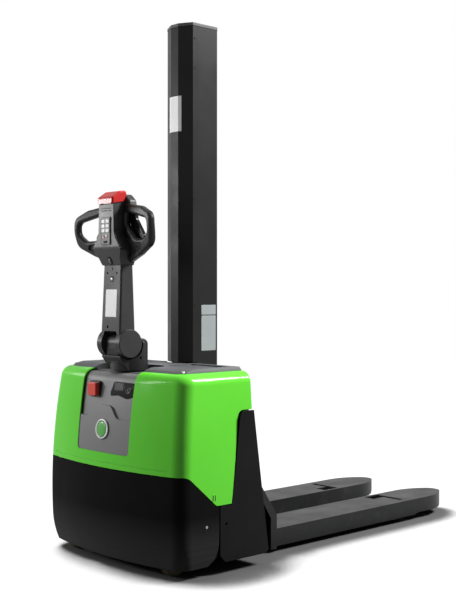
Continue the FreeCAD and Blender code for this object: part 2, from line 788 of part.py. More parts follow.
def fixed_chain():
    """The chain over the sheave and down in front of the barrel."""
    half = CHAIN_WIDTH / 2
    outer = cross_rod(-half, half, CHAIN_Y, SHEAVE_Z, SHEAVE_PITCH + CHAIN_THICKNESS / 2)
    wrap = outer.cut(cross_rod(-half, half, CHAIN_Y, SHEAVE_Z, SHEAVE_PITCH - CHAIN_THICKNESS / 2))
    wrap = wrap.cut(box(-50, 50, CHAIN_Y - 60, CHAIN_Y + 60, SHEAVE_Z - 60, SHEAVE_Z))
    return joined(wrap, chain_bar(CHAIN_Y - SHEAVE_PITCH, CHAIN_ANCHOR_Z, SHEAVE_Z))


# Carriage


def heel_points(depth):
    """The (y, z) outline of the heel: upright at the fork, then leaning back to the mast."""
    top_y = MAST_REAR + CARRIAGE_GAP + CARRIAGE_PLATE
    slope = (APRON_TOP - HEEL_KNEE) / (HEEL - top_y)
    drop = depth * (math.sqrt(1 + slope ** 2) - slope)
    return [
        (HEEL, HEEL_KNEE),
        (top_y, APRON_TOP),
        (top_y - depth, APRON_TOP),
        (HEEL - depth, HEEL_KNEE - drop),
    ]


def carriage_frame():
    """Cheeks in the mast, the front plate, the leaning apron and the heel ribs."""
    plate_y = MAST_REAR + CARRIAGE_GAP
    plate = front_slab(
        [
            (-CARRIAGE_HALF, HEEL_KNEE + 60),
            (CARRIAGE_HALF, HEEL_KNEE + 60),
            (CARRIAGE_HALF, CARRIAGE_HIGH - 60),
            (CHEEK_X + 30, CARRIAGE_HIGH, 10),
            (-CHEEK_X - 30, CARRIAGE_HIGH, 10),
            (-CARRIAGE_HALF, CARRIAGE_HIGH - 60),
        ],
        plate_y,
        plate_y + CARRIAGE_PLATE,
    )
    cheek = side_slab(
        [
            (MAST_REAR - 78, CARRIAGE_LOW + 10, 12),
            (plate_y, CARRIAGE_LOW + 10),
            (plate_y + CARRIAGE_PLATE, HEEL_KNEE + 70),
            (plate_y + CARRIAGE_PLATE, CARRIAGE_HIGH),
            (MAST_REAR - 78, CARRIAGE_HIGH, 12),
        ],
        CHEEK_X,
        CHEEK_X + CHEEK_THICKNESS,
    )
    half = FORK_SPREAD / 2
    thin = CARRIAGE_PLATE
    low = FORK_UNDER
    leaning = heel_points(thin)
    apron = side_slab([(HEEL, low)] + leaning + [(HEEL - thin, low)], -half, half)
    deep = heel_points(HEEL_RIB_DEPTH)
    rib_points = [(HEEL, HEEL_FOOT)] + deep + [(HEEL - HEEL_RIB_DEPTH, HEEL_FOOT)]
    rib = side_slab(rib_points, half - HEEL_RIB, half)
    anchor_y = CHAIN_Y + BARREL_RADIUS + MOVE_GAP
    anchor = box(-14, 14, anchor_y, plate_y, CHAIN_ANCHOR_Z - 20, CHAIN_ANCHOR_Z)
    return joined(plate, both_sides(cheek), apron, both_sides(rib), anchor)


def carriage_rollers():
    """The rollers that run in the column, on stub pins of the cheeks."""
    x0 = CHEEK_X + CHEEK_THICKNESS
    rollers = []
    for z in MAST_ROLLER_HEIGHTS:
        roller = cross_rod(x0, x0 + 2 + MAST_ROLLER_WIDTH, CHAIN_Y, z, 12)
        tyre = cross_rod(x0 + 2, x0 + 2 + MAST_ROLLER_WIDTH, CHAIN_Y, z, MAST_ROLLER_RADIUS)
        roller = roller.fuse(tyre)
        rollers += [roller, mirrored(roller)]
    return Part.makeCompound(rollers)


def fork_plan(inset, z):
    """The fork's outline from above: straight sides and a long tip of three arcs."""
    half = FORK_WIDTH / 2 - inset
    nose = TIP_NOSE_RADIUS - inset
    straight = FORK_LENGTH - TIP_LENGTH
    reach = FORK_LENGTH - inset - nose - straight
    sweep = (half ** 2 + reach ** 2 - nose ** 2) / (2 * (half - nose))
    turn = math.atan2(reach, sweep - half)

    def at(x, y):
        return V(FORK_CENTRE + x, straight + y, z)

    def on_sweep(angle):
        return at(half - sweep + sweep * math.cos(angle), sweep * math.sin(angle))

    def other(p):
        return V(2 * FORK_CENTRE - p.x, p.y, p.z)

    side = at(half, 0)
    mid = on_sweep(turn / 2)
    join = on_sweep(turn)
    heel = V(FORK_CENTRE + half, HEEL, z)
    edges = [
        Part.makeLine(heel, side),
        Part.Arc(side, mid, join).toShape(),
        Part.Arc(join, at(0, reach + nose), other(join)).toShape(),
        Part.Arc(other(join), other(mid), other(side)).toShape(),
        Part.makeLine(other(side), other(heel)),
        Part.makeLine(other(heel), heel),
    ]
    return Part.Face(Part.Wire(edges))


def fork():
    """The right fork: a top plate with side skirts, stepped near the roller, and its L window."""
    low = FORK_TOP - FORK_SIDE_DEPTH
    tip_low = FORK_TOP - FORK_TIP_DEPTH
    form = fork_plan(0, low).extrude(V(0, 0, FORK_SIDE_DEPTH))
    hollow = fork_plan(FORK_PLATE, low).extrude(V(0, 0, FORK_UNDER - low))
    shape = form.cut(hollow)
    step = [
        (FORK_STEP_Y, low - 1),
        (FORK_STEP_Y, low),
        (FORK_STEP_Y + FORK_STEP_RUN, tip_low),
        (FORK_LENGTH - TIP_UNDERCUT, tip_low),
        (FORK_LENGTH - TIP_UNDERCUT / 4, tip_low + TIP_NOSE / 2, 20),
        (FORK_LENGTH + 5, tip_low + TIP_NOSE + 8),
        (FORK_LENGTH + 5, low - 1),
    ]
    x0 = FORK_CENTRE - FORK_WIDTH / 2
    shape = shape.cut(side_slab(step, x0 - 5, x0 + FORK_WIDTH + 5))
    edge = x0 + WINDOW_EDGE
    pocket_end = edge + WINDOW_POCKET
    shape = shape.cut(box(edge, pocket_end, WINDOW_REAR, WINDOW_FRONT, FORK_UNDER - 5, FORK_TOP + 5))
    slot_y = WINDOW_FRONT - WINDOW_SLOT_WIDTH
    slot = box(edge, pocket_end + WINDOW_SLOT, slot_y, WINDOW_FRONT, FORK_UNDER - 5, FORK_TOP + 5)
    return shape.cut(slot)


# Steering and casters


def drive_unit():
    """Motor, gear housing beside the wheel, axle stub and the steering tube."""
    crown_top = CROWN_BOTTOM + CROWN_THICKNESS
    motor = rod(V(0, STEER_Y, crown_top), MOTOR_RADIUS, MOTOR_HEIGHT)
    crown = rod(V(0, STEER_Y, CROWN_BOTTOM), CROWN_RADIUS, CROWN_THICKNESS)
    x0 = DRIVE_WIDTH / 2 + 5
    gear = side_slab(
        [
            (STEER_Y - 60, CROWN_BOTTOM + 5),
            (STEER_Y - 46, DRIVE_RADIUS - 44, 40),
            (STEER_Y + 46, DRIVE_RADIUS - 44, 40),
            (STEER_Y + 60, CROWN_BOTTOM + 5),
        ],
        x0,
        x0 + 40,
    )
    axle = cross_rod(-DRIVE_WIDTH / 2, x0 + 5, STEER_Y, DRIVE_RADIUS, DRIVE_AXLE)
    tube_foot = crown_top + MOTOR_HEIGHT - 8
    tube = rod(V(0, STEER_Y, tube_foot), STEER_TUBE, TURRET_BOTTOM - tube_foot)
    return joined(motor, crown, gear, axle, tube)


def drive_tyre():
    """The drive wheel's tyre."""
    half = DRIVE_WIDTH / 2
    tyre = cross_rod(-half, half, STEER_Y, DRIVE_RADIUS, DRIVE_RADIUS)
    tyre = rounded(tyre, 6, lambda e: e.BoundBox.YLength > 1)
    return tyre.cut(cross_rod(-half, half, STEER_Y, DRIVE_RADIUS, DRIVE_RIM))


def drive_hub():
    """The drive wheel's cast centre."""
    half = DRIVE_WIDTH / 2
    hub = cross_rod(-half + 4, half - 4, STEER_Y, DRIVE_RADIUS, DRIVE_RIM)
    dish = cross_rod(-half - 1, -half + 18, STEER_Y, DRIVE_RADIUS, DRIVE_RIM - 14)
    hub = hub.cut(dish.cut(cross_rod(-half - 1, -half + 18, STEER_Y, DRIVE_RADIUS, 34)))
    return hub.cut(cross_rod(-100, 100, STEER_Y, DRIVE_RADIUS, DRIVE_AXLE + RUN_GAP))


def caster_fork():
    """The right caster's swivel head, fork and axle."""
    pin_y = CASTER_Y + CASTER_TRAIL
    crown_z = 2 * CASTER_RADIUS + MOVE_GAP
    head_z = DECK_TOP - 18 - SEAT_GAP
    inner = CASTER_WIDTH / 2 + 4
    cheek = side_slab(
        [
            (CASTER_Y - 14, CASTER_RADIUS - 14, 12),
            (CASTER_Y + 14, CASTER_RADIUS - 14, 12),
            (pin_y + 24, crown_z),
            (pin_y + 24, crown_z + 8),
            (CASTER_Y - 16, crown_z + 8),
        ],
        CASTER_X + inner,
        CASTER_X + inner + 5,
    )
    other = cheek.copy()
    other.translate(V(-2 * inner - 5, 0, 0))
    crown = box(CASTER_X - inner - 5, CASTER_X + inner + 5, CASTER_Y - 16, pin_y + 24, crown_z, crown_z + 8)
    head = rod(V(CASTER_X, pin_y, crown_z), 32, head_z - crown_z)
    pin = rod(V(CASTER_X, pin_y, head_z - 5), CASTER_AXLE + 2, DECK_TOP - head_z + 5)
    axle = cross_rod(CASTER_X - inner - 8, CASTER_X + inner + 8, CASTER_Y, CASTER_RADIUS, CASTER_AXLE)
    return joined(cheek, other, crown, head, pin, axle)


def caster_wheel():
    """The right caster's polyurethane wheel."""
    half = CASTER_WIDTH / 2
    wheel = cross_rod(CASTER_X - half, CASTER_X + half, CASTER_Y, CASTER_RADIUS, CASTER_RADIUS)
    wheel = rounded(wheel, 7, lambda e: e.BoundBox.YLength > 1)
    hub = cross_rod(CASTER_X - half - 3.5, CASTER_X + half + 3.5, CASTER_Y, CASTER_RADIUS, CASTER_AXLE + 8)
    return wheel.fuse(hub).cut(cross_rod(0, 400, CASTER_Y, CASTER_RADIUS, CASTER_AXLE + RUN_GAP))


# Turret and tiller


def turret():
    """The steering head: a round base, a nose under the tiller, and the block that holds its pin."""
    base = rod(V(0, STEER_Y, TURRET_BOTTOM), TURRET_RADIUS, TURRET_TOP - TURRET_BOTTOM)
    base = rounded(base, TURRET_ROUND, lambda e: e.BoundBox.ZMin > TURRET_TOP - 1)
    slope = side_slab(
        [
            (STEER_Y - 90, TURRET_TOP - 62),
            (STEER_Y + 12, TURRET_TOP),
            (STEER_Y + 90, TURRET_TOP),
            (STEER_Y + 90, TURRET_TOP + 60),
            (STEER_Y - 90, TURRET_TOP + 60),
        ],
        -100,
        100,
    )
    base = base.cut(slope)
    clear = cross_rod(-100, 100, PIVOT_Y, PIVOT_Z, HUB_RADIUS + MOVE_GAP)
    nose = side_slab(
        [
            (STEER_Y - 44, TURRET_BOTTOM, 8),
            (PIVOT_Y - 38, PIVOT_Z - 48, 10),
            (PIVOT_Y - 30, PIVOT_Z),
            (STEER_Y, PIVOT_Z),
            (STEER_Y, TURRET_BOTTOM),
        ],
        -TURRET_RADIUS + 14,
        TURRET_RADIUS - 14,
    )
    neck = HUB_INNER - MOVE_GAP
    block = side_slab(
        [
            (PIVOT_Y - 26, TURRET_BOTTOM + 30),
            (PIVOT_Y - 34, PIVOT_Z - 20, 30),
            (PIVOT_Y - 34, PIVOT_Z + 34, 33),
            (PIVOT_Y + 34, PIVOT_Z + 34, 33),
            (STEER_Y + 20, TURRET_BOTTOM + 60),
            (STEER_Y + 20, TURRET_BOTTOM + 30),
        ],
        -neck,
        neck,
    )
    block = block.cut(cross_rod(-100, 100, PIVOT_Y, PIVOT_Z, PIVOT_PIN))
    socket_z = TURRET_BOTTOM + 38
    socket = box(TURRET_RADIUS - 6, TURRET_RADIUS + 5, STEER_Y - 4, STEER_Y + 4, socket_z, socket_z + 12)
    shell = base.fuse(nose).cut(clear)
    return joined(shell.cut(both_sides(socket)), block)


def pivot_pin():
    """The pin that the tiller turns on."""
    return cross_rod(-HUB_OUTER + 6, HUB_OUTER - 6, PIVOT_Y, PIVOT_Z, PIVOT_PIN)


def arm_size(z):
    """Half width, front and rear of the tapered arm at one height."""
    t = (z - PIVOT_Z) / (ARM_TOP_Z - PIVOT_Z)
    half = ARM_LOW_HALF + (ARM_TOP_HALF - ARM_LOW_HALF) * t
    front = ARM_LOW_FRONT + (ARM_TOP_FRONT - ARM_LOW_FRONT) * t
    rear = ARM_LOW_REAR + (ARM_TOP_REAR - ARM_LOW_REAR) * t
    return half, front, rear


def arm_level(z, inset):
    """One level of the arm, its corners rounded, or that level set in by a wall."""
    half, front, rear = arm_size(z)
    x = half - inset
    radius = ARM_CORNER - inset / 2
    points = [
        (-x, front + inset, radius),
        (x, front + inset, radius),
        (x, rear - inset, radius),
        (-x, rear - inset, radius),
    ]
    return outline(points, lambda a, b: V(a, b, z))


def arm_form():
    """The arm's outside form, from the pivot's height to its top."""
    return Part.makeLoft([arm_level(PIVOT_Z, 0), arm_level(ARM_TOP_Z, 0)], True, True)


def tiller_arm():
    """The hollow arm that tapers upwards from two round hubs, with its mouth and front holes."""
    form = arm_form()
    hubs = cross_rod(-HUB_OUTER, HUB_OUTER, PIVOT_Y, PIVOT_Z, HUB_RADIUS)
    hubs = rounded(hubs, 3, lambda e: e.BoundBox.YLength > 1)
    form = form.fuse(hubs)
    room = side_slab(
        [
            (PIVOT_Y - 90, PIVOT_Z - 80),
            (PIVOT_Y + 90, PIVOT_Z - 80),
            (PIVOT_Y + 90, PIVOT_Z + ARM_MOUTH),
            (PIVOT_Y - 90, PIVOT_Z + ARM_MOUTH),
        ],
        -HUB_INNER,
        HUB_INNER,
    )
    form = form.cut(rounded(room, 12, lambda e: e.BoundBox.ZMin > PIVOT_Z and e.BoundBox.YLength > 1))
    inner_low = PIVOT_Z + ARM_MOUTH - 14
    hollow = [arm_level(inner_low, ARM_WALL), arm_level(ARM_TOP_Z - ARM_WALL, ARM_WALL)]
    form = form.cut(Part.makeLoft(hollow, True, True))
    for x, z, radius in ARM_HOLES:
        front = arm_size(z)[1]
        form = form.cut(rod(V(x, front - 2, z), radius, ARM_WALL + 4, V(0, 1, 0)))
    return form.cut(cross_rod(-HUB_OUTER + 6, HUB_OUTER - 6, PIVOT_Y, PIVOT_Z, PIVOT_PIN + RUN_GAP))


def head_top(y):
    """Height of the head's sloping top."""
    return HEAD_TOP + HEAD_RISE * (y - HEAD_FRONT) / (HEAD_REAR - HEAD_FRONT)


def tiller_head():
    """The moulded head on the arm's top: collar, flared foot, slim key column and rear hood."""
    low, front, rear = arm_size(HEAD_FOOT)
    face = [
        (low + 2, HEAD_FOOT, 5),
        (HEAD_FLARE - 20, HEAD_FOOT + 26, 16),
        (HEAD_FLARE, HEAD_FOOT + 56, 14),
        (HEAD_HALF + 4, HEAD_FOOT + 110, 40),
        (HEAD_HALF, HEAD_TOP + 30),
    ]
    other = [(-p[0],) + p[1:] for p in reversed(face)]
    side = [
        (front - 4, HEAD_FOOT, 5),
        (rear + 1.5, HEAD_FOOT, 4),
        (HEAD_REAR + 7, HEAD_FOOT + 30, 16),
        (HEAD_REAR, HEAD_FOOT + 110, 40),
        (HEAD_REAR, head_top(HEAD_REAR)),
        (HEAD_FRONT, HEAD_TOP, 5),
        (HEAD_FRONT, HEAD_FOOT + 60, 40),
    ]
    head = front_slab(face + other, HEAD_FRONT - 20, HEAD_REAR + 40).common(side_slab(side, -120, 120))
    crest = [
        (HOOD_HALF, HOOD_TOP - 58, 12),
        (HOOD_HALF - 6, HOOD_TOP - 22, 16),
        (HOOD_HALF - 32, HOOD_TOP, 20),
    ]
    far = [(-x, z, r) for x, z, r in reversed(crest)]
    hood = front_slab(crest + far, HOOD_FRONT, HOOD_REAR)
    hood = rounded(hood, 7, lambda e: e.BoundBox.YLength < 0.01)
    return head.fuse(hood.cut(reverse_button())).cut(arm_form())


def grip_side(inset):
    """The (y, z) line of the loops' front, which bulges at one height, set in by inset."""
    return [
        (GRIP_FRONT + GRIP_LOW_SET + inset, HEAD_FOOT - 14),
        (GRIP_FRONT + inset, GRIP_BEND_Z, 300),
        (GRIP_FRONT + GRIP_TOP_SET + inset, HEAD_TOP + 26),
    ]


def grip():
    """The right hand loop: a bent, rounded frame round the finger opening, with a sunk wing inside."""
    root = HEAD_HALF - 9
    outer = [
        (root, HEAD_FOOT + 4),
        (HEAD_HALF + 89, HEAD_FOOT + 35, 80),
        (GRIP_REACH - 12, HEAD_FOOT + 71, 45),
        (GRIP_REACH, HEAD_FOOT + 126, 120),
        (GRIP_REACH - 2, HEAD_FOOT + 177, 34),
        (GRIP_REACH - 70, HEAD_FOOT + 205, 60),
        (root, HEAD_FOOT + 222),
    ]
    hole = [
        (HEAD_HALF + 15, HEAD_FOOT + 150, 14),
        (HEAD_HALF + 71, HEAD_FOOT + 93, 30),
        (GRIP_REACH - 60, HEAD_FOOT + 91, 30),
        (GRIP_REACH - 26, HEAD_FOOT + 116, 26),
        (GRIP_REACH - 28, HEAD_FOOT + 158, 22),
        (HEAD_HALF + 15, HEAD_FOOT + 188, 10),
    ]
    front = grip_side(0)
    low, bend, top = grip_side(GRIP_DEPTH)
    rear = [top, (bend[0], bend[1], 200), (low[0] + GRIP_LOW_EXTRA, low[1])]
    band = side_slab(front + rear, 0, GRIP_REACH + 20)
    loop = front_slab(outer, -700, -400).cut(front_slab(hole, -710, -390)).common(band)

    def on_face(edge):
        bounds = edge.BoundBox
        across = bounds.XLength < 0.01 and bounds.ZLength < 0.01
        seam = bounds.YLength < 0.01 and bounds.ZLength < 0.01
        return bounds.XMax > root + 8 and not across and not seam

    loop = rounded(loop, GRIP_ROUND, on_face)
    wing = [
        (root, HEAD_FOOT + 20),
        (GRIP_REACH - 71, HEAD_FOOT + 60, 6),
        (GRIP_REACH - 76, HEAD_FOOT + 76, 6),
        (HEAD_HALF + 63, HEAD_FOOT + 80, 14),
        (HEAD_HALF + 9, HEAD_FOOT + 126, 12),
        (root, HEAD_FOOT + 136),
    ]
    near = side_slab(grip_side(6) + [(-700, HEAD_TOP + 26), (-700, HEAD_FOOT - 14)], 0, GRIP_REACH)
    loop = loop.cut(front_slab(wing, -700, -480).common(near))
    loop.rotate(V(GRIP_SWEEP_X, GRIP_FRONT, 0), V(0, 0, 1), -GRIP_SWEEP)
    return loop.cut([tiller_head(), arm_form(), reverse_button()])


def reverse_button():
    """The red safety button, a tilted wedge across the head's top."""
    back = head_top(BUTTON_REAR)
    side = [
        (BUTTON_REAR, back),
        (BUTTON_REAR, back + BUTTON_RISE, 10),
        (BUTTON_FRONT + 34, back + BUTTON_RISE - 4, 24),
        (BUTTON_FRONT, head_top(BUTTON_FRONT) + 22, 10),
        (BUTTON_FRONT, head_top(BUTTON_FRONT)),
    ]
    cap = side_slab(side, -BUTTON_HALF, BUTTON_HALF)

    def on_side(edge):
        bounds = edge.BoundBox
        return bounds.XLength < 0.01 and bounds.ZMax > back + 0.1

    return rounded(cap, 7, on_side)


def keypad():
    """The grey key panel on the head's front."""
    half = KEYPAD_HALF
    plate = [(-half, KEYPAD_LOW, 6), (half, KEYPAD_LOW, 6), (half, KEYPAD_HIGH, 6), (-half, KEYPAD_HIGH, 6)]
    return front_slab(plate, HEAD_FRONT - 3, HEAD_FRONT)


def thumb_lever():
    """The right butterfly lever behind the loop: an arm from the head, and a paddle hanging down."""
    outline_ = [
        (HEAD_HALF - 5, KEYPAD_HIGH - 14),
        (HEAD_HALF + 19, KEYPAD_HIGH - 20, 20),
        (HEAD_HALF + 71, KEYPAD_LOW + 9, 10),
        (HEAD_HALF + 105, KEYPAD_LOW + 24, 12),
        (HEAD_HALF + 55, KEYPAD_HIGH - 10, 30),
        (HEAD_HALF + 47, KEYPAD_HIGH + 24, 14),
        (HEAD_HALF - 5, KEYPAD_HIGH + 24),
    ]
    lever = front_slab(outline_, LEVER_Y, LEVER_Y + LEVER_THICKNESS)
    return lever.cut(tiller_head().fuse(grip()))


# Assembly


def build():
    """All nodes by name."""
    outer = body_solid()
    shell = outer.cut(body_solid(BODY_WALL))
    inner = body_solid(BODY_WALL + SEAT_GAP)
    lean_y = PANEL_SINK + LEDGE_DEPTH - level(SWITCH_Z)[1]
    switch = stop_switch(lean_y)
    lens = display()
    parts = {
        "chassis_frame": chassis_frame(inner),
        "side_plate_right": side_plate(),
        "side_plate_left": mirrored(side_plate()),
        "lower_skirt": lower_skirt(shell),
        "upper_cover": upper_cover(shell),
        "front_panel": front_panel(outer).cut(switch).cut(lens),
        "stop_switch": switch,
        "display": lens,
        "top_tray": top_tray(),
        "battery": battery(),
        "support_leg_right": support_leg(),
        "support_leg_left": mirrored(support_leg()),
        "load_axle_right": load_axle(),
        "load_axle_left": mirrored(load_axle()),
        "load_roller_right": load_roller(),
        "load_roller_left": mirrored(load_roller()),
        "mast_column": mast_column(),
        "mast_cover": mast_cover(),
        "mast_cap": mast_cap(),
        "lift_cylinder": lift_cylinder(),
        "lift_rod": lift_rod(),
        "chain_sheave": chain_sheave(),
        "fixed_chain": fixed_chain(),
        "lift_chain": chain_bar(CHAIN_Y + SHEAVE_PITCH, CHAIN_ANCHOR_Z, SHEAVE_Z),
        "carriage_frame": carriage_frame(),
        "carriage_rollers": carriage_rollers(),
        "fork_right": fork(),
        "fork_left": mirrored(fork()),
        "drive_unit": drive_unit(),
        "drive_tyre": drive_tyre(),
        "drive_hub": drive_hub(),
        "caster_fork_right": caster_fork(),
        "caster_fork_left": mirrored(caster_fork()),
        "caster_wheel_right": caster_wheel(),
        "caster_wheel_left": mirrored(caster_wheel()),
        "turret": turret(),
        "pivot_pin": pivot_pin(),
        "tiller_arm": tiller_arm(),
        "tiller_head": tiller_head(),
        "grip_right": grip(),
        "grip_left": mirrored(grip()),
        "reverse_button": reverse_button(),
        "keypad": keypad(),
        "thumb_levers": Part.makeCompound([thumb_lever(), mirrored(thumb_lever())]),
    }
    return parts


def main():
    """Write one STEP file per node."""
    os.makedirs("parts", exist_ok=True)
    for name, shape in build().items():
        shape.translate(V(0, -ORIGIN_Y, 0))
        shape.exportStep("parts/" + name + ".step")


main()
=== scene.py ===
import json
import math

import bmesh
import bpy
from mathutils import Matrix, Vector
from mathutils.bvhtree import BVHTree


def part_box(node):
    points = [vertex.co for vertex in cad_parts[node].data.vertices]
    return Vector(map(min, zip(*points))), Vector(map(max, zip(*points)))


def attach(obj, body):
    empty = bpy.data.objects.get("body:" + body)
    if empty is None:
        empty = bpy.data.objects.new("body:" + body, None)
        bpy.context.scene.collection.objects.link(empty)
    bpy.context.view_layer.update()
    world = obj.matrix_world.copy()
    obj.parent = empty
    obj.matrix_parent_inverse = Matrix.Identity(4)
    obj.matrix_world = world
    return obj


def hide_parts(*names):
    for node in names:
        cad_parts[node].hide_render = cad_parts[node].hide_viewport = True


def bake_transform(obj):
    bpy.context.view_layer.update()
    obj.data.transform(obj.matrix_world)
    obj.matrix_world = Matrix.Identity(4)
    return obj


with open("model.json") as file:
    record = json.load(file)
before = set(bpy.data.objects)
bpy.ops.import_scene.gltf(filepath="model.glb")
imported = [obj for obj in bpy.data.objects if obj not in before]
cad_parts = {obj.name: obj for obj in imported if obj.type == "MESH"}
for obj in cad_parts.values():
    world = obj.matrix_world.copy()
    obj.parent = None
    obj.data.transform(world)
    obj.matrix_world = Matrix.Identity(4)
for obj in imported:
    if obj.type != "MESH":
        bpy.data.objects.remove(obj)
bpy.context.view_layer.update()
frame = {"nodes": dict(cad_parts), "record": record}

WHITE = (1.0, 1.0, 1.0, 1.0)

# Camera of the photograph, level and at waist height, in metres and degrees
CAMERA_PLACE = (3.118, -3.128, 0.974)
CAMERA_AZIMUTH = 47.1
CAMERA_LENS = 64.99
CAMERA_SHIFT_Y = -0.0157

# Floor, in metres. Its shadow follows the open share of a sky that leans to the camera's left.
FLOOR_SIZE = 40.0
FLOOR_GREY = 0.09
SHADOW_REACH = 0.28
SHADOW_LEAN = (-0.40, -0.40, 0.82)
SHADOW_SAMPLES = 24
SHADOW_FULL = 0.64
SHADOW_GONE = 0.84

# Light: the world's strength, then each lamp's place, aim and size in metres, and its watts
AMBIENT = 0.145
LAMPS = {
    "left_box": ((-4.4, -2.4, 2.2), (0, -0.5, 0.7), (1.4, 1.4), 58),
    "right_box": ((2.6, 2.7, 4.2), (0.2, -0.2, 0.7), (0.9, 1.8), 620),
    "top_box": ((-0.3, 0.1, 4.4), (0, 0, 0.5), (2.4, 2.4), 30),
    "sheen_box": ((-4.1, -3.95, 1.78), (0, -0.5, 1.2), (0.9, 0.6), 110),
    "streak_box": ((-2.75, -4.65, 2.4), (0.2, -0.8, 0.65), (0.45, 2.0), 68),
}

nodes = frame["nodes"]
scene = bpy.context.scene


# Finishes

# Sockets of a Mix node that mixes colours
MIX_FACTOR, MIX_UNDER, MIX_OVER, MIX_RESULT = 0, 6, 7, 2

# Two coats: how far the roughness strays each way, then the relief's noise, depth and strength
ORANGE_PEEL = {
    "less": 0.05, "more": 0.07, "detail": 2.0, "rough": 0.5, "depth": 0.0004, "strength": 0.25,
}
FINE_GRAIN = {
    "less": 0.04, "more": 0.06, "detail": 3.0, "rough": 0.6, "depth": 0.0003, "strength": 0.35,
}

# Where finishes change, in metres of the object's own coordinates
SOFT_EDGE = 0.0015
GRIP_EDGE = 0.004
EDGE_SAMPLES = 6
SWITCH_FACE_Y = -0.8198
WING_END_X = (0.124, 0.130)
WING_TOP_Z = (1.156, 1.162)
# Heights over which the skirt's painted reflection of the floor fades out
PAINTED_REFLECTION_Z = (0.05, 0.21)


class Graph:
    """Shader nodes under construction."""

    def __init__(self, owner):
        owner.use_nodes = True
        self.tree = owner.node_tree
        self.tree.nodes.clear()

    def add(self, kind):
        return self.tree.nodes.new(kind)

    def link(self, source, target):
        self.tree.links.new(source, target)

    def math(self, operation, first, second=0.0):
        """One Math node; either side may be a number."""
        node = self.add("ShaderNodeMath")
        node.operation = operation
        for socket, side in zip(node.inputs, (first, second)):
            if isinstance(side, (int, float)):
                socket.default_value = side
            else:
                self.link(side, socket)
        return node.outputs["Value"]

    def spread(self, source, low, high, start=0.3, stop=0.7):
        """Values from low to high as source goes from start to stop."""
        node = self.add("ShaderNodeMapRange")
        node.inputs["From Min"].default_value = start
        node.inputs["From Max"].default_value = stop
        node.inputs["To Min"].default_value = low
        node.inputs["To Max"].default_value = high
        self.link(source, node.inputs["Value"])
        return node.outputs["Result"]

    def seen_directly(self):
        """1 for rays from the camera, a mirror or a glass, and 0 for others."""
        path = self.add("ShaderNodeLightPath")
        seen = self.math("MAXIMUM", path.outputs["Is Camera Ray"], path.outputs["Is Glossy Ray"])
        return self.math("MAXIMUM", seen, path.outputs["Is Transmission Ray"])


class Finish(Graph):
    """A material under construction, in the object's own coordinates."""

    def __init__(self, name):
        self.material = bpy.data.materials.new(name)
        super().__init__(self.material)
        self.shader = self.add("ShaderNodeBsdfPrincipled")
        output = self.add("ShaderNodeOutputMaterial")
        self.link(self.shader.outputs["BSDF"], output.inputs["Surface"])
        self.place = self.add("ShaderNodeTexCoord").outputs["Object"]
        self.shade = None
        self.normal = None

    def values(self, **wanted):
        """Set uniform shader values; words are joined with underscores."""
        for word, value in wanted.items():
            self.shader.inputs[word.replace("_", " ")].default_value = value
        return self

    def axis(self, name):
        """One of the object's own coordinates."""
        node = self.add("ShaderNodeSeparateXYZ")
        self.link(self.place, node.inputs["Vector"])
        return node.outputs[name]

    def noise(self, scale, detail=3.0, rough=0.5, stretch=None):
        """Noise over the object's coordinates, stretched along an axis if asked."""
        node = self.add("ShaderNodeTexNoise")
        node.inputs["Scale"].default_value = scale
        node.inputs["Detail"].default_value = detail
        node.inputs["Roughness"].default_value = rough
        source = self.place
        if stretch:
            mapping = self.add("ShaderNodeMapping")
            mapping.inputs["Scale"].default_value = stretch
            self.link(source, mapping.inputs["Vector"])
            source = mapping.outputs["Vector"]
        self.link(source, node.inputs["Vector"])
        return node.outputs["Fac"]

    def ramp(self, source, low, high, start=0.35, stop=0.65):
        """Colours from low to high as source goes from start to stop."""
        node = self.add("ShaderNodeValToRGB")
        ends = node.color_ramp.elements
        ends[0].position = start
        ends[1].position = stop
        ends[0].color = (*low, 1.0)
        ends[1].color = (*high, 1.0)
        self.link(source, node.inputs["Fac"])
        return node.outputs["Color"]

    def based(self, shade):
        """Take a colour output as the base colour."""
        self.shade = shade
        self.link(shade, self.shader.inputs["Base Color"])
        return self

    def shaped(self, normal):
        """Take a normal output as the surface's normal."""
        self.normal = normal
        self.link(normal, self.shader.inputs["Normal"])
        return self

    def colour(self, low, high, scale=6.0):
        """Base colour that drifts between two close shades."""
        return self.based(self.ramp(self.noise(scale, detail=4.0), low, high))

    def covered(self, factor, shade):
        """Lay another shade, plain or an output, over the base colour as far as factor says."""
        node = self.add("ShaderNodeMix")
        node.data_type = "RGBA"
        self.link(factor, node.inputs[MIX_FACTOR])
        self.link(self.shade, node.inputs[MIX_UNDER])
        if isinstance(shade, tuple):
            node.inputs[MIX_OVER].default_value = (*shade, 1.0)
        else:
            self.link(shade, node.inputs[MIX_OVER])
        return self.based(node.outputs[MIX_RESULT])

    def worn(self, shade, scale, start, stop):
        """Patches of another shade, where the paint is rubbed or dust has settled."""
        patch = self.spread(self.noise(scale, detail=8.0, rough=0.65), 0.0, 1.0, start, stop)
        return self.covered(patch, shade)

    def painted_floor_reflection(self, shade, low, high):
        """Another shade near the floor, fading out between two heights: a painted reflection of
        the floor.
        """
        return self.covered(self.spread(self.axis("Z"), 1.0, 0.0, low, high), shade)

    def roughness(self, low, high, scale=9.0):
        """Roughness that drifts between two values."""
        drift = self.spread(self.noise(scale, detail=5.0), low, high)
        self.link(drift, self.shader.inputs["Roughness"])
        return self

    def edges(self, radius):
        """Soft edges in the shading."""
        node = self.add("ShaderNodeBevel")
        node.samples = EDGE_SAMPLES
        node.inputs["Radius"].default_value = radius
        return self.shaped(node.outputs["Normal"])

    def bump(self, source, distance, strength):
        """Relief from a height source, on top of what is there."""
        node = self.add("ShaderNodeBump")
        node.inputs["Distance"].default_value = distance
        node.inputs["Strength"].default_value = strength
        self.link(source, node.inputs["Height"])
        if self.normal is not None:
            self.link(self.normal, node.inputs["Normal"])
        return self.shaped(node.outputs["Normal"])


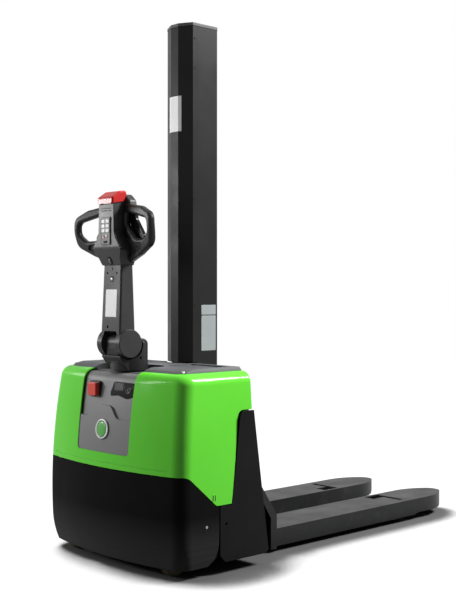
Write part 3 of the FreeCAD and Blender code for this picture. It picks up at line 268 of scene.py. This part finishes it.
def coated(name, low, high, rough, grain, specular, edge, coat):
    """A coat with a slightly uneven gloss, soft edges and a fine relief."""
    made = Finish(name).colour(low, high)
    made.roughness(rough - coat["less"], rough + coat["more"])
    made.edges(edge)
    made.bump(made.noise(grain, coat["detail"], coat["rough"]), coat["depth"], coat["strength"])
    return made.values(Specular_IOR_Level=specular)


def painted(name, low, high, rough, grain, specular=0.2):
    """Powder coat."""
    return coated(name, low, high, rough, grain, specular, SOFT_EDGE, ORANGE_PEEL)


def moulded(name, low, high, rough, grain, specular=0.2, edge=SOFT_EDGE):
    """Moulded plastic."""
    return coated(name, low, high, rough, grain, specular, edge, FINE_GRAIN)


def glossy(name, low, high, rough, coat, specular=0.15):
    """Smooth glossy plastic under a clear surface."""
    made = Finish(name).colour(low, high, scale=3.0)
    made.roughness(rough, rough + 0.05)
    made.edges(SOFT_EDGE)
    made.bump(made.noise(60.0, detail=2.0), distance=0.0006, strength=0.05)
    return made.values(Coat_Weight=coat, Coat_Roughness=0.11, Specular_IOR_Level=specular)


def turned(name, shade, rough, stretch):
    """Machined steel with fine turning marks."""
    low = tuple(c * 0.8 for c in shade)
    made = Finish(name).colour(low, shade, scale=20.0)
    made.roughness(rough - 0.06, rough + 0.1, scale=30.0)
    marks = made.noise(90.0, detail=2.0, stretch=stretch)
    made.bump(marks, distance=0.0002, strength=0.3)
    return made.values(Metallic=1.0)


def switch_finish():
    """Red pad in front of a black bezel, told apart by depth."""
    made = glossy("red_switch", (0.66, 0.05, 0.03), (0.72, 0.06, 0.038), 0.35, 0.2)
    black = made.ramp(made.noise(20.0), grey(0.006), grey(0.008))
    return made.covered(made.math("GREATER_THAN", made.axis("Y"), SWITCH_FACE_Y), black)


def grip_finish():
    """Black loops whose inner wings are a lighter grey."""
    made = moulded("grip_black", grey(0.012), grey(0.016), 0.38, 600.0, 0.15, GRIP_EDGE)
    wing = made.ramp(made.noise(20.0), grey(0.045), grey(0.055))
    near = made.spread(made.math("ABSOLUTE", made.axis("X")), 1.0, 0.0, *WING_END_X)
    low = made.spread(made.axis("Z"), 1.0, 0.0, *WING_TOP_Z)
    return made.covered(made.math("MULTIPLY", near, low), wing)


def grey(level, tint=(1.0, 1.0, 1.0)):
    """A linear grey with a slight tint."""
    return tuple(level * t for t in tint)


COOL = (0.97, 1.0, 1.04)

# Each material slot's kind, shades and roughness, then its grain (painted, moulded), clear
# coat (glossy) or the stretch of its marks (turned), and its specular level
SLOTS = {
    "green_cover": (glossy, (0.118, 0.63, 0.034), (0.128, 0.66, 0.040), 0.28, 0.18, 0.03),
    "black_cover": (moulded, grey(0.0058), grey(0.0075), 0.5, 700.0, 0.01),
    "dark_frame": (painted, grey(0.0075), grey(0.0095), 0.45, 500.0, 0.04),
    "fork_paint": (painted, grey(0.007, COOL), grey(0.0095, COOL), 0.42, 420.0, 0.17),
    "mast_paint": (painted, grey(0.016), grey(0.019), 0.36, 420.0, 0.065),
    "panel_grey": (moulded, grey(0.15), grey(0.165), 0.45, 900.0),
    "tray_grey": (moulded, grey(0.084, COOL), grey(0.094, COOL), 0.5, 800.0, 0.15),
    "arm_grey": (painted, grey(0.036), grey(0.043), 0.36, 420.0, 0.10),
    "head_black": (moulded, grey(0.014), grey(0.018), 0.38, 600.0, 0.15),
    "display_black": (glossy, grey(0.003), grey(0.005), 0.25, 0.06, 0.02),
    "key_grey": (moulded, grey(0.085), grey(0.10), 0.4, 500.0),
    "battery_case": (moulded, grey(0.02), grey(0.03), 0.5, 400.0),
    "steel": (turned, (0.50, 0.51, 0.53), 0.32, (1.0, 1.0, 8.0)),
    "chain_steel": (turned, (0.16, 0.155, 0.15), 0.42, (1.0, 1.0, 2.0)),
    "rod_chrome": (turned, (0.75, 0.76, 0.78), 0.12, (8.0, 8.0, 0.5)),
    "polyurethane": (moulded, (0.14, 0.075, 0.022), (0.17, 0.09, 0.028), 0.4, 300.0),
    "roller_grey": (moulded, (0.11, 0.085, 0.05), (0.13, 0.10, 0.06), 0.5, 300.0),
    "cast_hub": (painted, grey(0.02), grey(0.03), 0.55, 160.0),
    "red_button": (glossy, (0.44, 0.009, 0.007), (0.50, 0.012, 0.009), 0.36, 0.14),
}
FINISHES = {name: kind(name, *rest) for name, (kind, *rest) in SLOTS.items()}
# The skirt is painted lighter towards the floor: a painted reflection of the floor
FINISHES["black_cover"].painted_floor_reflection(grey(0.038), *PAINTED_REFLECTION_Z)
FINISHES["fork_paint"].worn(grey(0.017), scale=14.0, start=0.54, stop=0.68)

# Finishes of single pieces and of the fittings
SWITCH = switch_finish()
GRIP = grip_finish()
HEAD = moulded("head_shell", grey(0.034), grey(0.041), 0.36, 600.0, 0.18)
LABEL = moulded("bare_label", grey(0.84), grey(0.88), 0.42, 300.0)
LABEL_GREY = moulded("bare_label_grey", (0.30, 0.335, 0.33), (0.34, 0.375, 0.37), 0.42, 300.0)
KEY = moulded("key_white", grey(0.70), grey(0.78), 0.35, 300.0)
RED = glossy("key_red", (0.45, 0.012, 0.01), (0.5, 0.016, 0.012), 0.3, 0.3)
BRIGHT = turned("bright_trim", (0.42, 0.43, 0.43), 0.26, (1.0, 1.0, 4.0))
EMBLEM = glossy("emblem_green", (0.075, 0.36, 0.05), (0.085, 0.40, 0.06), 0.3, 0.3)
GLASS = glossy("screen_glass", (0.035, 0.042, 0.04), (0.045, 0.052, 0.05), 0.12, 0.15)
# Near-black of rivets, screws and small parts; in the latch slot, latch recess and arm slot it is
# painted shade
DARK_AND_SHADE = moulded("dark_detail_and_shade", grey(0.004), grey(0.006), 0.6, 500.0, 0.1)
# Light satin grey of rims, the lock and the latch tongue; on the display's curved strip it is a
# painted highlight
SATIN_AND_HIGHLIGHT = painted("satin_rim_and_highlight", grey(0.10), grey(0.13), 0.35, 300.0)
ZINC = turned("zinc_screw", (0.30, 0.30, 0.29), 0.34, (1.0, 1.0, 3.0))
WELD = turned("weld_bead", (0.055, 0.055, 0.056), 0.5, (1.0, 1.0, 6.0))

OWN_FINISHES = {"stop_switch": SWITCH, "tiller_head": HEAD, "grip_right": GRIP, "grip_left": GRIP}
for part in frame["record"]["subparts"]:
    mesh = nodes[part["node"]].data
    mesh.materials.clear()
    wanted = OWN_FINISHES.get(part["node"], FINISHES[part["material_slot"]])
    mesh.materials.append(wanted.material)


# Fittings: closed pieces in mesh code, set on the node that carries them

# Millimetres from here on, with Y counted from the front face of the fork heels.
# A fitting starts SINK under the skin that carries it.
HEEL_Y = -247.0
FAR = 3000.0
SINK = 0.4

# Profiles: a dome by angle, a screw's head and a bolt's washer by shares of radius and height
DOME_ANGLES = (0.0, 0.5, 0.95, 1.3)
SCREW_HEAD = ((1.0, 0.55), (0.86, 0.9), (0.55, 1.0), (0.42, 0.25))
WASHER_RADIUS = 1.45
WASHER_HEIGHT = 0.28

# Mast. The label round its nose is given by x, y and the way that it faces there.
LABEL_HEIGHT = 0.5
LABEL_BEVEL = 0.2
MAST_LABEL_PATH = (
    (-37, -249.6, (-0.465, -0.885)),
    (-21, -258, (-0.235, -0.972)),
    (0, -258, (0.0, -1.0)),
    (21, -258, (0.235, -0.972)),
    (33, -251.7, (0.465, -0.885)),
)
MAST_LABEL_Z = (1570, 1703)
SIDE_LABELS = ((-188.5, -116, 748, 880), (-188.5, -116, 883, 920))
RIVETS = [(-221, z) for z in (920, 1318, 1806, 1916)]

# Hood
EMBLEM_CENTRE = (0, 484)
SCREEN = (42, 86, 625, 646)
SCREEN_MARGIN = 2.5
LOCK_CENTRE = (120, 627)
LOCK_SLOT = (119.2, 120.8, 623, 631)
# A light strip along a curve of the display housing: a painted highlight, by start, length, drop,
# width and steps
HIGHLIGHT_START = (90, 640)
HIGHLIGHT_LENGTH = 46
HIGHLIGHT_DROP = 26
HIGHLIGHT_WIDTH = 2.2
HIGHLIGHT_STEPS = 12
TRAY_SCREWS = [(-316, -486), (316, -486)]
SKIRT_SCREW = (-443, 174)
SKIRT_PLUG = (-443, 168)
HOOD_LATCH = (-419, -400, 256, 281)
LATCH_SLOTS = ((-416.5, -412.5, 259, 278), (-406.5, -402.5, 259, 278))

# Tiller. Its arm leans forward between two points given by z and y.
ARM_FRONT = ((785.0, -558.9), (1078.0, -546.7))
KEY_COLUMNS = (-12, 12)
KEY_ROWS = (1220, 1203.5, 1187)
KEY_HALF_SIZE = (10, 6.5)
ROUND_KEY = (1, 11, 1163, 1173)
RED_KEY = (-15, -5, 1158, 1168)
KEYPAD_FRAME = (-26.5, 26.5, 1137.5, 1234.5)
KEY_STRIP = (-11, 11, 1143, 1151)
RIDGE_HALF_SIZE = (30, 1.6)
RIDGE_ROWS = (1258, 1266)
LATCH_RECESS = (-11, 13, 1066, 1095)
LATCH_TONGUE = (-6.5, 8.5, 1068, 1089)
ARM_LABEL = (-33, 32, 880, 978)
ARM_BOLT = (0, 1015.5)
ARM_SLOT = (-2.2, 2.8, 1046, 1058)
WING_SCREW = (114.5, 1129.5)

# Carriage: its bolts, and the weld beads' ends in x on each side, with their y and z
CARRIAGE_BOLTS = [(-95, 300), (95, 300), (-95, 350), (95, 350), (-48, 425), (48, 425)]
WELD_ENDS = ((104, 186), (202, 282))
WELD_PLACE = (3.0, 91.0)
WELD_RADIUS = 3.6
WELD_STEPS = 40
WELD_SIDES = 10
WELD_RIPPLE = 0.84
WELD_TIP = 0.35

# Lift chain: its link plates, then in metres a strand's middle behind its front face and the
# heights passed with each run
CHAIN_FOOT = 232.0
CHAIN_TOP = 1048.0
CHAIN_PITCH = 12.7
LINK_REACH = CHAIN_PITCH * 0.75
LINK_HALF_WIDTH = 4.2
LINK_RISES = (0.9, 1.6)
STRAND_MIDDLE = 0.004
STILL_RUN = (0.225, 1.05)
LIFT_RUN = (0.019, 2.081)


def point(x, y, z):
    """Metres in the frame, from millimetres behind the fork heel's front face."""
    return Vector((x / 1000, (y + HEEL_Y) / 1000, z / 1000))


def surface(node):
    """A tree of the node's faces, for finding where its skin is."""
    mesh = bmesh.new()
    mesh.from_mesh(nodes[node].data)
    tree = BVHTree.FromBMesh(mesh)
    mesh.free()
    return tree


def onto(node, facing):
    """A map from (a, b, height) to the node's skin, as seen from one side."""
    tree = surface(node)
    views = {
        "front": (lambda a, b: (a, -FAR, b), (0, 1, 0)),
        "rear": (lambda a, b: (a, FAR, b), (0, -1, 0)),
        "right": (lambda a, b: (FAR, a, b), (-1, 0, 0)),
        "left": (lambda a, b: (-FAR, a, b), (1, 0, 0)),
        "top": (lambda a, b: (a, b, FAR), (0, 0, -1)),
    }
    start, way = views[facing]
    way = Vector(way)

    def place(a, b, height):
        hit = tree.ray_cast(point(*start(a, b)), way)[0]
        if hit is None:
            raise ValueError("nothing of %s at %s, %s" % (node, a, b))
        return hit - way * height / 1000

    return place


def beside(x, way):
    """A map from (a, b, height) to an upright plane at x; way is the side that it faces."""
    def place(a, b, height):
        return point(x + way * height, a, b)

    return place


def arm_face(a, b, height):
    """The map for the tiller arm's leaning front."""
    (z0, y0), (z1, y1) = ARM_FRONT
    return point(a, y0 + (y1 - y0) * (b - z0) / (z1 - z0) - height, b)


def built(name, mesh, finish):
    """An object from a bmesh, with its finish."""
    data = bpy.data.meshes.new(name)
    mesh.to_mesh(data)
    mesh.free()
    data.materials.append(finish.material)
    piece = bpy.data.objects.new(name, data)
    scene.collection.objects.link(piece)
    return piece


def finished(name, mesh, finish, body, smooth=False):
    """A fitting from a bmesh, riding on a body."""
    bmesh.ops.recalc_face_normals(mesh, faces=mesh.faces)
    piece = built(name, mesh, finish)
    if smooth:
        piece.data.shade_smooth()
    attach(piece, body)


def loft(mesh, rings, closed=False):
    """Faces between rings of points, with end caps unless the rings close on themselves."""
    rows = [[mesh.verts.new(p) for p in ring] for ring in rings]
    pairs = list(zip(rows, rows[1:]))
    if closed:
        pairs.append((rows[-1], rows[0]))
    for a, b in pairs:
        for i in range(len(a)):
            j = (i + 1) % len(a)
            mesh.faces.new((a[i], a[j], b[j], b[i]))
    if not closed:
        mesh.faces.new(rows[0][::-1])
        mesh.faces.new(rows[-1])


def rectangle(a0, a1, b0, b1, corner=0.0, steps=4):
    """A rectangle's outline, its corners rounded."""
    if corner <= 0:
        return [(a0, b0), (a1, b0), (a1, b1), (a0, b1)]
    left, right, foot, top = a0 + corner, a1 - corner, b0 + corner, b1 - corner
    points = []
    for k, (a, b) in enumerate(((right, top), (left, top), (left, foot), (right, foot))):
        for i in range(steps + 1):
            turn = math.pi / 2 * (k + i / steps)
            points.append((a + corner * math.cos(turn), b + corner * math.sin(turn)))
    return points


def circle(a, b, radius, count=24):
    """A circle's outline, or a polygon's."""
    turns = [2 * math.pi * i / count for i in range(count)]
    return [(a + radius * math.cos(t), b + radius * math.sin(t)) for t in turns]


def inset(outline, amount):
    """A convex outline drawn in towards its middle."""
    a = sum(p[0] for p in outline) / len(outline)
    b = sum(p[1] for p in outline) / len(outline)
    across = 1 - amount / max(abs(p[0] - a) for p in outline)
    along = 1 - amount / max(abs(p[1] - b) for p in outline)
    return [(a + (p[0] - a) * across, b + (p[1] - b) * along) for p in outline]


def ring_of(outline, place, height):
    """An outline as points on a surface, at a height over it."""
    return [place(a, b, height) for a, b in outline]


def raise_plates(mesh, outlines, place, height, bevel):
    """Plates with a bevelled edge on a surface."""
    for outline in outlines:
        rings = [
            ring_of(outline, place, -SINK),
            ring_of(outline, place, height - bevel),
            ring_of(inset(outline, bevel), place, height),
        ]
        loft(mesh, rings)


def plates(name, outlines, place, height, bevel, finish, body, smooth=False):
    """Bevelled plates as one piece."""
    mesh = bmesh.new()
    raise_plates(mesh, outlines, place, height, bevel)
    finished(name, mesh, finish, body, smooth)


def domes(name, centres, place, radius, height, finish, body):
    """Domes as one piece."""
    mesh = bmesh.new()
    for a, b in centres:
        rings = [ring_of(circle(a, b, radius), place, -SINK)]
        for turn in DOME_ANGLES:
            outline = circle(a, b, radius * math.cos(turn))
            rings.append(ring_of(outline, place, height * math.sin(turn)))
        loft(mesh, rings)
    finished(name, mesh, finish, body, smooth=True)


def bands(name, outlines, place, width, height, finish, body):
    """Raised bands that follow outlines, as one piece."""
    mesh = bmesh.new()
    for outline in outlines:
        rings = [
            ring_of(outline, place, -SINK),
            ring_of(inset(outline, width * 0.25), place, height),
            ring_of(inset(outline, width * 0.75), place, height),
            ring_of(inset(outline, width), place, -SINK),
        ]
        loft(mesh, rings, closed=True)
    finished(name, mesh, finish, body)


def bolts(name, centres, place, radius, height, finish, body):
    """Hexagon heads on round washers."""
    mesh = bmesh.new()
    washers = [circle(a, b, radius * WASHER_RADIUS, count=28) for a, b in centres]
    heads = [circle(a, b, radius, count=6) for a, b in centres]
    raise_plates(mesh, washers, place, height * WASHER_HEIGHT, bevel=0.3)
    raise_plates(mesh, heads, place, height, bevel=0.8)
    finished(name, mesh, finish, body)


def screws(name, centres, place, radius, height, finish, body):
    """Round heads with a sunk socket."""
    mesh = bmesh.new()
    for a, b in centres:
        rings = [ring_of(circle(a, b, radius), place, -SINK)]
        for wide, tall in SCREW_HEAD:
            rings.append(ring_of(circle(a, b, radius * wide), place, height * tall))
        loft(mesh, rings)
    finished(name, mesh, finish, body)


def ribbon(name, path, width, place, height, finish, body):
    """A narrow strip on a surface, its lower edge along a path."""
    mesh = bmesh.new()
    rows = []
    for a, b in path:
        low, high = (a, b), (a, b + width)
        corners = ((low, -SINK), (low, height), (high, height), (high, -SINK))
        rows.append([place(*spot, rise) for spot, rise in corners])
    loft(mesh, rows)
    finished(name, mesh, finish, body)


def bent_sheet(name, path, heights, thickness, finish, body):
    """A thin upright sheet along a path of (x, y, way it faces), between two heights."""
    mesh = bmesh.new()
    sides = []
    for rise in (0.0, thickness):
        side = []
        for z in heights:
            for x, y, way in path:
                away = Vector(way).normalized() * rise
                side.append(mesh.verts.new(point(x + away.x, y + away.y, z)))
        sides.append(side)
    back, face = sides
    count = len(path)
    for side in sides:
        for i in range(count - 1):
            mesh.faces.new((side[i], side[i + 1], side[count + i + 1], side[count + i]))
    for start in (0, count):
        for i in range(start, start + count - 1):
            mesh.faces.new((back[i], back[i + 1], face[i + 1], face[i]))
    for i in (0, count - 1):
        mesh.faces.new((back[i], back[count + i], face[count + i], face[i]))
    finished(name, mesh, finish, body)


def bead(mesh, path, radius):
    """A weld bead along a straight path, with its ripples."""
    up = Vector((0, 0, 1))
    out = (path[-1] - path[0]).normalized().cross(up).normalized()
    rings = []
    for i, middle in enumerate(path):
        size = radius * (1.0 if i % 2 else WELD_RIPPLE) / 1000
        if i in (0, len(path) - 1):
            size *= WELD_TIP
        ring = []
        for k in range(WELD_SIDES):
            turn = 2 * math.pi * k / WELD_SIDES
            ring.append(middle + out * size * math.cos(turn) + up * size * math.sin(turn))
        rings.append(ring)
    loft(mesh, rings)


def mast_fittings():
    """Bare labels and rivets of the mast."""
    bent_sheet("mast_label", MAST_LABEL_PATH, MAST_LABEL_Z, LABEL_HEIGHT,
               finish=LABEL, body="chassis")
    labels = [rectangle(*label, corner=3) for label in SIDE_LABELS]
    plates("mast_side_labels", labels, onto("mast_column", "right"), LABEL_HEIGHT, LABEL_BEVEL,
           finish=LABEL_GREY, body="chassis")
    for side in ("right", "left"):
        domes("mast_rivets_" + side, RIVETS, onto("mast_cover", side), radius=4.0, height=1.2,
              finish=DARK_AND_SHADE, body="chassis")


def hood_fittings():
    """Emblem, display details, tray screws, skirt fasteners and latches."""
    panel = onto("front_panel", "front")
    ring = circle(*EMBLEM_CENTRE, radius=35.5, count=48)
    bands("emblem_ring", [ring], panel, width=6.5, height=2.2,
          finish=BRIGHT, body="chassis")
    domes("emblem_disc", [EMBLEM_CENTRE], panel, radius=27.5, height=1.4,
          finish=EMBLEM, body="chassis")
    display_fittings(onto("display", "front"))
    screws("tray_screws", TRAY_SCREWS, onto("top_tray", "top"), radius=5.5, height=2.2,
           finish=ZINC, body="chassis")
    for side in ("right", "left"):
        skirt = onto("lower_skirt", side)
        screws("skirt_screw_" + side, [SKIRT_SCREW], skirt, radius=5.0, height=0.4,
               finish=ZINC, body="chassis")
        plug = circle(*SKIRT_PLUG, radius=17, count=32)
        bands("skirt_plug_" + side, [plug], skirt, width=1.6, height=0.4,
              finish=FINISHES["black_cover"], body="chassis")
    for side in ("right", "left"):
        hood = onto("upper_cover", side)
        plates("hood_latch_" + side, [rectangle(*HOOD_LATCH, corner=3)], hood,
               height=0.3, bevel=0.2,
               finish=FINISHES["green_cover"], body="chassis")
        # Each slot of the latch is a near-black plate: painted shade where the slot is open
        slot_shades = [rectangle(*slot, corner=1.2, steps=2) for slot in LATCH_SLOTS]
        plates("hood_latch_slot_shades_" + side, slot_shades, hood, height=0.4, bevel=0.1,
               finish=DARK_AND_SHADE, body="chassis")


def display_fittings(lens):
    """Screen, key lock, and a light strip on the display housing that is a painted highlight."""
    plates("screen", [rectangle(*SCREEN, corner=3)], lens, height=0.7, bevel=0.3,
           finish=GLASS, body="chassis")
    a0, a1, b0, b1 = SCREEN
    m = SCREEN_MARGIN
    rim = rectangle(a0 - m, a1 + m, b0 - m, b1 + m, corner=4)
    bands("screen_frame", [rim], lens, width=1.9, height=0.9,
          finish=SATIN_AND_HIGHLIGHT, body="chassis")
    ring = circle(*LOCK_CENTRE, radius=9.5, count=28)
    bands("lock_ring", [ring], lens, width=3.4, height=2.6,
          finish=SATIN_AND_HIGHLIGHT, body="chassis")
    core = circle(*LOCK_CENTRE, radius=6.2, count=20)
    plates("lock_core", [core], lens, height=1.5, bevel=0.4,
           finish=DARK_AND_SHADE, body="chassis")
    plates("lock_slot", [rectangle(*LOCK_SLOT)], lens, height=1.8, bevel=0.1,
           finish=SATIN_AND_HIGHLIGHT, body="chassis")
    # The light strip drawn below is a painted highlight on the display housing
    a, b = HIGHLIGHT_START
    shares = [i / HIGHLIGHT_STEPS for i in range(HIGHLIGHT_STEPS + 1)]
    trim = [(a + HIGHLIGHT_LENGTH * t, b - HIGHLIGHT_DROP * math.sin(math.pi * t)) for t in shares]
    ribbon("display_highlight", trim, HIGHLIGHT_WIDTH, lens, height=0.6,
           finish=SATIN_AND_HIGHLIGHT, body="chassis")


def tiller_fittings():
    """Keys, ridges, latch, label, bolt and screws of the tiller."""
    keys = onto("keypad", "front")
    wide, tall = KEY_HALF_SIZE
    white = []
    for z in KEY_ROWS:
        for x in KEY_COLUMNS:
            white.append(rectangle(x - wide, x + wide, z - tall, z + tall, corner=2.5))
    white.append(rectangle(*ROUND_KEY, corner=4.0))
    plates("keys_white", white, keys, height=1.6, bevel=0.8,
           finish=KEY, body="tiller")
    plates("key_red", [rectangle(*RED_KEY, corner=4.0)], keys, height=1.6, bevel=0.8,
           finish=RED, body="tiller")
    bands("keypad_frame", [rectangle(*KEYPAD_FRAME, corner=5)], keys, width=2.0, height=0.8,
          finish=SATIN_AND_HIGHLIGHT, body="tiller")
    plates("key_strip", [rectangle(*KEY_STRIP, corner=2)], keys, height=0.8, bevel=0.3,
           finish=DARK_AND_SHADE, body="tiller")
    head = onto("tiller_head", "front")
    wide, tall = RIDGE_HALF_SIZE
    ridges = [rectangle(-wide, wide, z - tall, z + tall, corner=1.5, steps=3) for z in RIDGE_ROWS]
    plates("head_ridges", ridges, head, height=1.4, bevel=0.7,
           finish=HEAD, body="tiller")
    # The latch's recess is a near-black plate: painted shade in the recess round the tongue
    plates("latch_recess_shade", [rectangle(*LATCH_RECESS, corner=9)], head, height=0.5, bevel=0.2,
           finish=DARK_AND_SHADE, body="tiller")
    plates("latch_tongue", [rectangle(*LATCH_TONGUE, corner=6.5)], head, height=3.4, bevel=1.8,
           finish=SATIN_AND_HIGHLIGHT, body="tiller", smooth=True)
    plates("arm_label", [rectangle(*ARM_LABEL, corner=2)], arm_face, LABEL_HEIGHT, LABEL_BEVEL,
           finish=LABEL, body="tiller")
    seat = circle(*ARM_BOLT, radius=11, count=28)
    bands("arm_bolt_seat", [seat], arm_face, width=3.4, height=0.8,
          finish=DARK_AND_SHADE, body="tiller")
    domes("arm_bolt", [ARM_BOLT], arm_face, radius=7.6, height=4.2,
          finish=ZINC, body="tiller")
    # The arm's slot is a near-black plate: painted shade where the slot is open
    plates("arm_slot_shade", [rectangle(*ARM_SLOT, corner=2.2)], arm_face, height=0.4, bevel=0.1,
           finish=DARK_AND_SHADE, body="tiller")
    for side, sign in (("right", 1), ("left", -1)):
        wing = onto("grip_" + side, "front")
        spot = (sign * WING_SCREW[0], WING_SCREW[1])
        screws("wing_screw_" + side, [spot], wing, radius=4.2, height=1.2,
               finish=DARK_AND_SHADE, body="tiller")
        bands("wing_screw_rim_" + side, [circle(*spot, radius=6.4)], wing,
              width=1.5, height=0.5, finish=SATIN_AND_HIGHLIGHT, body="tiller")


def carriage_fittings():
    """Bolts and weld beads on the carriage."""
    bolts("carriage_bolts", CARRIAGE_BOLTS, onto("carriage_frame", "rear"),
          radius=8.0, height=6.5, finish=ZINC, body="carriage")
    mesh = bmesh.new()
    for sign in (-1, 1):
        for x0, x1 in WELD_ENDS:
            steps = [x0 + (x1 - x0) * i / WELD_STEPS for i in range(WELD_STEPS + 1)]
            bead(mesh, [point(sign * x, *WELD_PLACE) for x in steps], WELD_RADIUS)
    finished("heel_weld_beads", mesh, WELD, "carriage", smooth=True)


def chain_run(name, node, y, bodies, start, end):
    """A straight run of the lift chain with its link plates; bodies is not used."""
    mesh = bmesh.new()
    mesh.from_mesh(nodes[node].data)
    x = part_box(node)[1][0] * 1000
    for side in (-1, 1):
        place = beside(side * x, side)
        for i in range(int((CHAIN_TOP - CHAIN_FOOT) / CHAIN_PITCH)):
            z = CHAIN_FOOT + CHAIN_PITCH * (i + 0.5)
            link = rectangle(y - LINK_HALF_WIDTH, y + LINK_HALF_WIDTH,
                             z - LINK_REACH, z + LINK_REACH, corner=4.1, steps=3)
            raise_plates(mesh, [link], place, LINK_RISES[i % 2], bevel=0.3)
            pin = circle(y, z + CHAIN_PITCH / 2, radius=1.9, count=10)
            raise_plates(mesh, [pin], place, height=2.4, bevel=0.5)
    piece = built(name, mesh, FINISHES["chain_steel"])
    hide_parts(node)
    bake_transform(piece)


def chain_runs():
    """The still run and the lift run of the chain, each as one piece."""
    low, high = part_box("fixed_chain")
    still = (low[1] + STRAND_MIDDLE) * 1000 - HEEL_Y
    chain_run("fixed_chain_run", "fixed_chain", still, ("chassis", "lift_rod"), *STILL_RUN)
    low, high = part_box("lift_chain")
    moving = (low[1] + high[1]) / 2 * 1000 - HEEL_Y
    chain_run("lift_chain_run", "lift_chain", moving, ("carriage", "chassis"), *LIFT_RUN)


mast_fittings()
hood_fittings()
tiller_fittings()
carriage_fittings()
chain_runs()


# Studio: floor, light and camera


def floor():
    """A pale floor that shows white to the camera, and soft and dark where the truck is near."""
    mesh = bpy.data.meshes.new("studio_floor")
    half = FLOOR_SIZE / 2
    corners = [(-half, -half, 0), (half, -half, 0), (half, half, 0), (-half, half, 0)]
    mesh.from_pydata(corners, [], [(0, 1, 2, 3)])
    plane = bpy.data.objects.new("studio_floor", mesh)
    scene.collection.objects.link(plane)
    made = Finish("studio_floor")
    made.values(Base_Color=(FLOOR_GREY, FLOOR_GREY, FLOOR_GREY, 1.0), Roughness=0.9)
    made.values(Specular_IOR_Level=0.0, Emission_Color=WHITE)
    shade = made.add("ShaderNodeAmbientOcclusion")
    shade.samples = SHADOW_SAMPLES
    shade.inputs["Distance"].default_value = SHADOW_REACH
    lean = made.add("ShaderNodeCombineXYZ")
    for socket, value in zip(lean.inputs, SHADOW_LEAN):
        socket.default_value = value
    made.link(lean.outputs["Vector"], shade.inputs["Normal"])
    open_floor = made.spread(shade.outputs["AO"], 0.0, 1.0, SHADOW_FULL, SHADOW_GONE)
    glow = made.math("MULTIPLY", open_floor, open_floor)
    glow = made.math("MULTIPLY", made.seen_directly(), glow)
    made.link(glow, made.shader.inputs["Emission Strength"])
    mesh.materials.append(made.material)


def surroundings():
    """White to the camera, mirrors and glass, and a plain grey light on everything else."""
    world = bpy.data.worlds.new("studio")
    scene.world = world
    made = Graph(world)
    background = made.add("ShaderNodeBackground")
    background.inputs["Color"].default_value = WHITE
    strength = made.spread(made.seen_directly(), AMBIENT, 1.0, start=0.0, stop=1.0)
    made.link(strength, background.inputs["Strength"])
    output = made.add("ShaderNodeOutputWorld")
    made.link(background.outputs["Background"], output.inputs["Surface"])


def softbox(name, place, aim, size, power):
    """A rectangular area lamp that looks at a point."""
    data = bpy.data.lights.new(name, "AREA")
    data.shape = "RECTANGLE"
    data.size, data.size_y = size
    data.energy = power
    lamp = bpy.data.objects.new(name, data)
    lamp.location = place
    lamp.rotation_euler = (Vector(aim) - Vector(place)).to_track_quat("-Z", "Y").to_euler()
    scene.collection.objects.link(lamp)


def camera():
    """The photograph's camera."""
    data = bpy.data.cameras.new("camera")
    data.lens = CAMERA_LENS
    data.shift_y = CAMERA_SHIFT_Y
    eye = bpy.data.objects.new("camera", data)
    eye.location = CAMERA_PLACE
    eye.rotation_euler = (math.radians(90), 0, math.radians(CAMERA_AZIMUTH))
    scene.collection.objects.link(eye)
    scene.camera = eye


floor()
surroundings()
for name, lamp in LAMPS.items():
    softbox(name, *lamp)
camera()
scene.view_settings.view_transform = "Standard"
